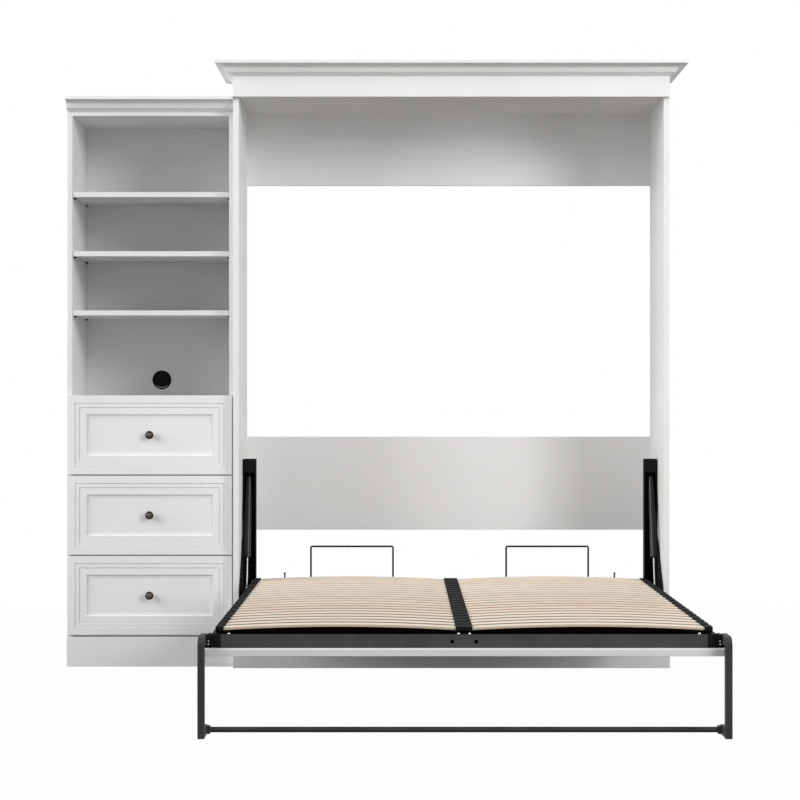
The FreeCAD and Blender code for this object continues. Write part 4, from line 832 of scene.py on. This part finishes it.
# rounded rectangular tube along X (axis 0) or Y (axis 1), given by its three spans; its low end may be closed
def railTube(axis, spans, capped=False):
    sides = [(axis + 1) % 3, (axis + 2) % 3]
    middle = [sum(spans[i]) / 2 for i in sides]
    size = [spans[i][1] - spans[i][0] for i in sides]
    outer = roundRect(*size, rail["corner"]) + middle
    inner = roundRect(size[0] - 2 * rail["wall"], size[1] - 2 * rail["wall"], rail["corner"] - rail["wall"]) + middle
    low, high = spans[axis]
    if not capped:
        return hollow(outer, inner, axis, low, high)
    ease = rail["ease"]
    return skin(across([inner, inner, outer, outer, drawnIn(outer, ease)], axis,
                       [low + rail["wall"], high, high, low + ease, low]))


railZ = (rail["low"], rail["high"])
railY = (rail["front"] + rail["depth"], rail["back"] - rail["depth"])
fullX = (-rail["half"], rail["half"])
innerX = (rail["width"] - rail["half"], rail["half"] - rail["width"])
for name, side in leftRight.items():
    spanX = sorted((side * rail["half"], side * (rail["half"] - rail["width"])))
    outward = (side, 0, 0)
    bossBore, bossEdge, bossReach = pivot["shaft"] + clearance, rail["bossEdge"], rail["bossEnd"] - rail["bossStart"]
    bossSection = [(0, bossBore), (0, rail["boss"]), (bossReach - bossEdge, rail["boss"]),
                   (bossReach, rail["boss"] - bossEdge), (bossReach, bossBore)]
    boss = lathe(bossSection, (side * rail["bossStart"], pivot["y"], pivot["z"]), outward, 40, closed=True)
    studPlace = (side * rail["half"], gas["footY"], gas["footZ"])
    pinBore = drillHole((side * (rail["half"] - rail["width"]), pivot["y"], pivot["z"]), outward, bossBore,
                        rail["width"] + 2, steps=40)
    tube = railTube(1, (spanX, (rail["front"], railY[1]), railZ), True)
    makePiece(f"side_rail_{name}_tube", [tube], blackPowder, "bed", [f"side_rail_{name}"], [pinBore])
    makePiece(f"side_rail_{name}_bosses", [boss, lathe(studSection, studPlace, outward, 32)], blackPowder, "bed",
              [f"side_rail_{name}"])
railHoles = [drillHole((side * rail["holeSpread"], rail["front"], rail["holeZ"]), (0, 1, 0), rail["hole"],
                       rail["depth"] / 2, steps=24) for side in (-1, 1)]
makePiece("front_rail_tube", [railTube(0, (innerX, (rail["front"], railY[0]), railZ))], greyPowder, "bed",
          ["front_rail"], railHoles)
makePiece("head_rail_tube", [railTube(0, (fullX, (railY[1], rail["back"]), railZ))], blackPowder, "bed",
          ["head_rail"])
makePiece("centre_rail_tube", [railTube(1, ((-rail["centre"], rail["centre"]), railY, railZ))], blackPowder, "bed",
          ["centre_rail"])


# slats: bowed plywood strips, each a rounded section carried along an arc

slat = {"count": 21, "width": 55, "thick": 8, "bow": 11, "inner": 13, "outer": 729, "under": 310, "firstY": -1672.5,
        "field": 1829, "corner": 0.9, "stations": 25, "warmY": -1000, "warmPitch": 1100}
slat["pitch"] = (slat["field"] - slat["width"]) / (slat["count"] - 1)
beech = beechPly(slat)


def slatStrip(side, y):
    reach = np.linspace(slat["inner"], slat["outer"], slat["stations"])
    chord = slat["outer"] - slat["inner"]
    curve = (chord ** 2 / 4 + slat["bow"] ** 2) / (2 * slat["bow"])
    fromMiddle = reach - (slat["inner"] + slat["outer"]) / 2
    rise = np.sqrt(curve ** 2 - fromMiddle ** 2) - (curve - slat["bow"])
    section = roundRect(slat["width"], slat["thick"], slat["corner"], 3)
    centres = np.stack([np.full_like(rise, y + slat["width"] / 2), slat["under"] + slat["thick"] / 2 + rise], axis=1)
    return skin(across(section + centres[:, None], 0, side * reach)), np.tile(section[:, 1], slat["stations"])


rows = slat["firstY"] + np.arange(slat["count"]) * slat["pitch"]
for name, side in leftRight.items():
    strips, heights = zip(*[slatStrip(side, y) for y in rows])
    piece = makePiece(f"slats_{name}_beech", strips, beech, "bed", [f"slats_{name}"])
    ply = piece.data.attributes.new("plyHeight", "FLOAT", "POINT")
    ply.data.foreach_set("value", (np.concatenate(heights) * mm).astype(np.float32))

# slat holders: a ribbed rubbery foot on the rail and a sleeve round each slat's end
holder = {"grip": 12, "back": 12, "margin": 4, "low": 301, "top": 322.2, "corner": 4.5, "ease": 0.8,
          "pocketHeight": 9.2, "pocketCorner": 1.2, "footDepth": 44, "footTop": 309, "footCorner": 3, "sunk": 1.5,
          "swell": 1.2, "ribs": 3, "middleInset": 7}


def sleeveOutline(y, outside):
    middle = y + slat["width"] / 2
    if outside:
        low = holder["footTop"] - holder["sunk"]
        return roundRect(slat["width"] + 2 * holder["margin"], holder["top"] - low, holder["corner"]) + [
            middle, (holder["top"] + low) / 2]
    return roundRect(slat["width"] + 2 * clearance, holder["pocketHeight"], holder["pocketCorner"]) + [
        middle, slat["under"] + holder["pocketHeight"] / 2]


# foot: rounded rectangle whose size swells and narrows once for every rib on its way up
def holderFoot(x, width, y):
    height = np.linspace(holder["low"], holder["footTop"], 13)
    swell = holder["swell"] * np.cos(np.linspace(0, 2 * holder["ribs"] * np.pi, len(height)))
    middle = [x, y + slat["width"] / 2]
    outlines = [roundRect(width + grow - 2 * holder["swell"], holder["footDepth"] + grow, holder["footCorner"], 3)
                + middle for grow in swell]
    return skin(across(outlines, 2, height))


holders = []
tip, mouth, backEnd = slat["outer"] + clearance, slat["outer"] - holder["grip"], slat["outer"] + holder["back"]
middleReach, middleTip, ease = slat["inner"] + holder["grip"], slat["inner"] - clearance, holder["ease"]
for y in rows:
    outside, inside = sleeveOutline(y, True), sleeveOutline(y, False)
    softEnd = drawnIn(outside, ease)
    for side in (-1, 1):
        levels = side * np.array([backEnd, backEnd - ease, mouth + ease, mouth, mouth, tip])
        holders.append(skin(across([softEnd, outside, outside, softEnd, inside, inside], 0, levels)))
        holders.append(holderFoot(side * (mouth + backEnd) / 2, backEnd - mouth, y))
    levels = np.array([-middleTip, -middleReach, -middleReach, -middleReach + ease, middleReach - ease, middleReach,
                       middleReach, middleTip])
    holders.append(skin(across([inside, inside, softEnd, outside, outside, softEnd, inside, inside], 0, levels)))
    holders.append(holderFoot(0, 2 * (middleReach - holder["middleInset"]), y))
makePiece("slat_holders_moulded", holders, blackPlastic, "bed", ["slat_holders"])
print("slats ready")


# mattress stops, T pins and bolts on the frame

stop = {"wire": 3.5, "wireSteps": 16, "half": 158, "spread": 376, "top": 433, "bend": 6, "y": 294.5}
ringAngle = np.arange(stop["wireSteps"]) * 2 * np.pi / stop["wireSteps"]
wireOutline = np.stack([np.cos(ringAngle), np.sin(ringAngle)], axis=1) * stop["wire"]
stops = []
for side in (-1, 1):
    middle = side * stop["spread"]
    path, heading = bentPath([(middle - stop["half"], stop["y"], rail["high"]),
                              (middle - stop["half"], stop["y"], stop["top"]),
                              (middle + stop["half"], stop["y"], stop["top"]),
                              (middle + stop["half"], stop["y"], rail["high"])], stop["bend"])
    depth = np.broadcast_to([0.0, 1.0, 0.0], path.shape)
    stops.append(skin(carried(wireOutline, path, depth, np.cross(heading, depth))))
makePiece("mattress_stops_wire", stops, blackPowder, "bed", ["mattress_stops"])

headPin = {"x": 635, "y": 294.5, "top": 332}
pinHeight = headPin["top"] - rail["high"]
# T pin as (height, radius): shank and a flat head with rounded rims
pinSection = [(0, 3), (pinHeight - 3, 3), (pinHeight - 3, 5), (pinHeight - 2.5, 5.5), (pinHeight - 0.8, 5.5),
              (pinHeight - 0.2, 4.8), (pinHeight, 3.6)]
headPins = [lathe(pinSection, (side * headPin["x"], headPin["y"], rail["high"]), (0, 0, 1), 24) for side in (-1, 1)]
makePiece("head_pins_turned", headPins, blackPowder, "bed", ["head_pins"])

bolt = {"radius": 4.5, "height": 4, "frontY": -1685, "headY": 294.5, "frontX": (700, 16.5), "headX": 70}
bracket = {"inner": 754, "outer": 764, "front": -1700.5, "back": -1652.5, "low": 268, "high": 301, "corner": 2,
           "edge": 0.8, "boltX": 760, "boltZ": (272, 281), "boltRadius": 3, "boltHeight": 2.5}
frameBolts = []
for side in (-1, 1):
    frameBolts += [button((side * bracket["boltX"], bracket["front"], z), (0, -1, 0), bracket["boltRadius"],
                          bracket["boltHeight"]) for z in bracket["boltZ"]]
    frameBolts += [button((side * x, bolt["frontY"], rail["high"]), (0, 0, 1), bolt["radius"], bolt["height"])
                   for x in bolt["frontX"]]
    frameBolts.append(button((side * bolt["headX"], bolt["headY"], rail["high"]), (0, 0, 1), bolt["radius"],
                             2 * bolt["height"]))
makePiece("frame_bolts_button", frameBolts, zincPlate, "bed", ["frame_bolts"])


# leg: flat tubes bent back at the top, with feet on the floor, a round crossbar in square collars, and the brackets
# on the side rails

leg = {"y": -1752.5, "axisY": -1668.5, "axle": 286, "x": 776.75, "inner": 766.5, "width": 20.5, "depth": 28,
       "corner": 3, "bend": 17, "bendSteps": 3, "tail": 14, "foot": 101, "footEdge": 1.5, "stub": 6, "stubStart": 754,
       "barRadius": 8.5, "barY": -1666.5, "barZ": 14, "barEnd": 757, "collar": 24, "collarCorner": 2,
       "collarEdge": 0.8, "overlap": 4}
legOutline = roundRect(leg["width"], leg["depth"], leg["corner"])
arms = []
for side in (-1, 1):
    x = side * leg["x"]
    path, heading = bentPath([(x, leg["axisY"] + leg["tail"], leg["axle"]), (x, leg["y"], leg["axle"]),
                              (x, leg["y"], 0)], leg["bend"], leg["bendSteps"])
    wide = np.broadcast_to([1.0, 0.0, 0.0], path.shape)
    arms.append(skin(carried(legOutline, path, wide, np.cross(heading, wide))))
    arms.append(board((x - leg["width"] / 2, leg["y"], 0),
                      (x + leg["width"] / 2, leg["y"] + leg["foot"], leg["depth"]), leg["footEdge"]))
    stubEnd = leg["inner"] + leg["overlap"]
    arms.append(lathe([(0, leg["stub"] - 1), (1, leg["stub"]), (stubEnd - leg["stubStart"], leg["stub"])],
                      (side * leg["stubStart"], leg["axisY"], leg["axle"]), (side, 0, 0), 32))
    start, end = sorted((side * leg["barEnd"], side * stubEnd))
    collar = roundRect(leg["collar"], leg["collar"], leg["collarCorner"]) + [leg["barY"], leg["barZ"]]
    arms.append(slab(collar, 0, start, end, leg["collarEdge"]))
makePiece("leg_arms_bent", arms, charcoalPowder, "leg", ["leg_arms"], angle=25)

barRadius, barLength = leg["barRadius"], 2 * leg["barEnd"]
# weld bead at each end of the bar, as (length, radius)
weld = [(0, barRadius + 1), (0.6, barRadius + 0.8), (1.4, barRadius + 0.2), (2, barRadius)]
barSection = weld + [(barLength - along, size) for along, size in weld[::-1]]
crossbar = lathe(barSection, (-leg["barEnd"], leg["barY"], leg["barZ"]), (1, 0, 0), 32)
makePiece("leg_crossbar_round", [crossbar], charcoalPowder, "leg", ["leg_crossbar"])

bracketCorners = [(bracket["front"], bracket["low"]), (bracket["front"], bracket["high"]),
                  (bracket["back"], bracket["high"]), (bracket["back"], bracket["low"])]
brackets, bracketBores = [], []
for side in (-1, 1):
    start, end = sorted((side * bracket["inner"], side * bracket["outer"]))
    brackets.append(slab(roundCorners(bracketCorners, bracket["corner"]), 0, start, end, bracket["edge"]))
    bracketBores.append(drillHole((side * bracket["inner"], leg["axisY"], leg["axle"]), (side, 0, 0),
                                  leg["stub"] + clearance, bracket["outer"] - bracket["inner"] + 2))
makePiece("leg_brackets_cast", brackets, blackPowder, "bed", ["leg_brackets"], bracketBores)
print("bed ready")


# camera, light and floor

camera = {"place": (-0.191, -8.3905, 0.997), "lens": 101.43, "sensor": 36}
cameraData = bpy.data.cameras.new("camera")
cameraData.lens = camera["lens"]
cameraData.sensor_width = camera["sensor"]
cameraData.clip_end = 100
cameraObject = bpy.data.objects.new("camera", cameraData)
cameraObject.location = camera["place"]
cameraObject.rotation_euler = (math.pi / 2, 0, 0)
bpy.context.scene.collection.objects.link(cameraObject)
bpy.context.scene.camera = cameraObject
bpy.context.scene.view_settings.view_transform = "Standard"

lamps = {
    "leftHigh": {"place": (-7.0, -2.5, 3.6), "aim": (0, 0, 1.2), "size": 4.5, "power": 496},
    "rightHigh": {"place": (4.5, -4.5, 3.8), "aim": (0, 0, 1.2), "size": 1.8, "power": 176},
    "sideRight": {"place": (6.0, -4.5, 2.4), "aim": (0, 0, 1.2), "size": 2.0, "power": 129},
    "wideTop": {"place": (0.5, -4.0, 5.0), "aim": (0, 0, 1.2), "size": 3.5, "power": 50},
}
for name, lamp in lamps.items():
    light = bpy.data.lights.new(name, "AREA")
    light.shape = "SQUARE"
    light.size = lamp["size"]
    light.energy = lamp["power"]
    lightObject = bpy.data.objects.new(name, light)
    lightObject.location = lamp["place"]
    aim = np.array(lamp["aim"]) - np.array(lamp["place"])
    lightObject.rotation_euler = (math.atan2(math.hypot(aim[0], aim[1]), -aim[2]), 0,
                                  math.atan2(aim[1], aim[0]) - math.pi / 2)
    bpy.context.scene.collection.objects.link(lightObject)


# one for the rays that see plain white surroundings, zero for those that carry light
def whiteRays(tree):
    rays = addNode(tree, "LightPath")
    direct = addNode(tree, "Math", {"operation": "MAXIMUM"},
                     {0: rays.outputs["Is Camera Ray"], 1: rays.outputs["Is Glossy Ray"]})
    return addNode(tree, "Math", {"operation": "MAXIMUM"},
                   {0: direct.outputs[0], 1: rays.outputs["Is Transmission Ray"]})


world = bpy.data.worlds.new("studio")
bpy.context.scene.world = world
world.use_nodes = True
tree = world.node_tree
tree.nodes.clear()
seen = whiteRays(tree)
level = addNode(tree, "MapRange", (), {"Value": seen.outputs[0], "To Min": 0.276, "To Max": 1.0})
sky = addNode(tree, "Background", (), {"Color": hexColour("#ffffff"), "Strength": level.outputs["Result"]})
addNode(tree, "OutputWorld", (), {"Surface": sky.outputs[0]})

# pale floor that keeps the shadow near the object and fades to plain white further out
floorSize = {"radius": 9.0, "steps": 96, "fadeStart": 1.9, "fadeEnd": 3.4}
floorMaterial = bpy.data.materials.new("paleFloor")
floorMaterial.use_nodes = True
tree = floorMaterial.node_tree
tree.nodes.clear()
coords = addNode(tree, "TexCoord").outputs["Object"]
distance = addNode(tree, "VectorMath", {"operation": "LENGTH"}, {0: coords})
fade = addNode(tree, "MapRange", {"interpolation_type": "SMOOTHSTEP"},
               {"Value": distance.outputs["Value"], "From Min": floorSize["fadeStart"],
                "From Max": floorSize["fadeEnd"], "To Min": 0.98, "To Max": 1.0})
seen = whiteRays(tree)
share = addNode(tree, "Math", {"operation": "MULTIPLY"}, {0: fade.outputs["Result"], 1: seen.outputs[0]})
matt = addNode(tree, "BsdfDiffuse", (), {"Color": hexColour("#585858")})
white = addNode(tree, "Emission", (), {"Color": hexColour("#ffffff"), "Strength": 1.0})
mix = addNode(tree, "MixShader", (), {0: share.outputs[0], 1: matt.outputs[0], 2: white.outputs[0]})
addNode(tree, "OutputMaterial", (), {"Surface": mix.outputs[0]})
angle = np.arange(floorSize["steps"]) * 2 * np.pi / floorSize["steps"]
floorMesh = bpy.data.meshes.new("floor")
floorMesh.from_pydata(np.stack([np.cos(angle), np.sin(angle), 0 * angle], axis=1) * floorSize["radius"], [],
                      [list(range(len(angle)))])
floorMesh.materials.append(floorMaterial)
floor = bpy.data.objects.new("floor", floorMesh)
bpy.context.scene.collection.objects.link(floor)
floor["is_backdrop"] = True
print("studio ready")

low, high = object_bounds()
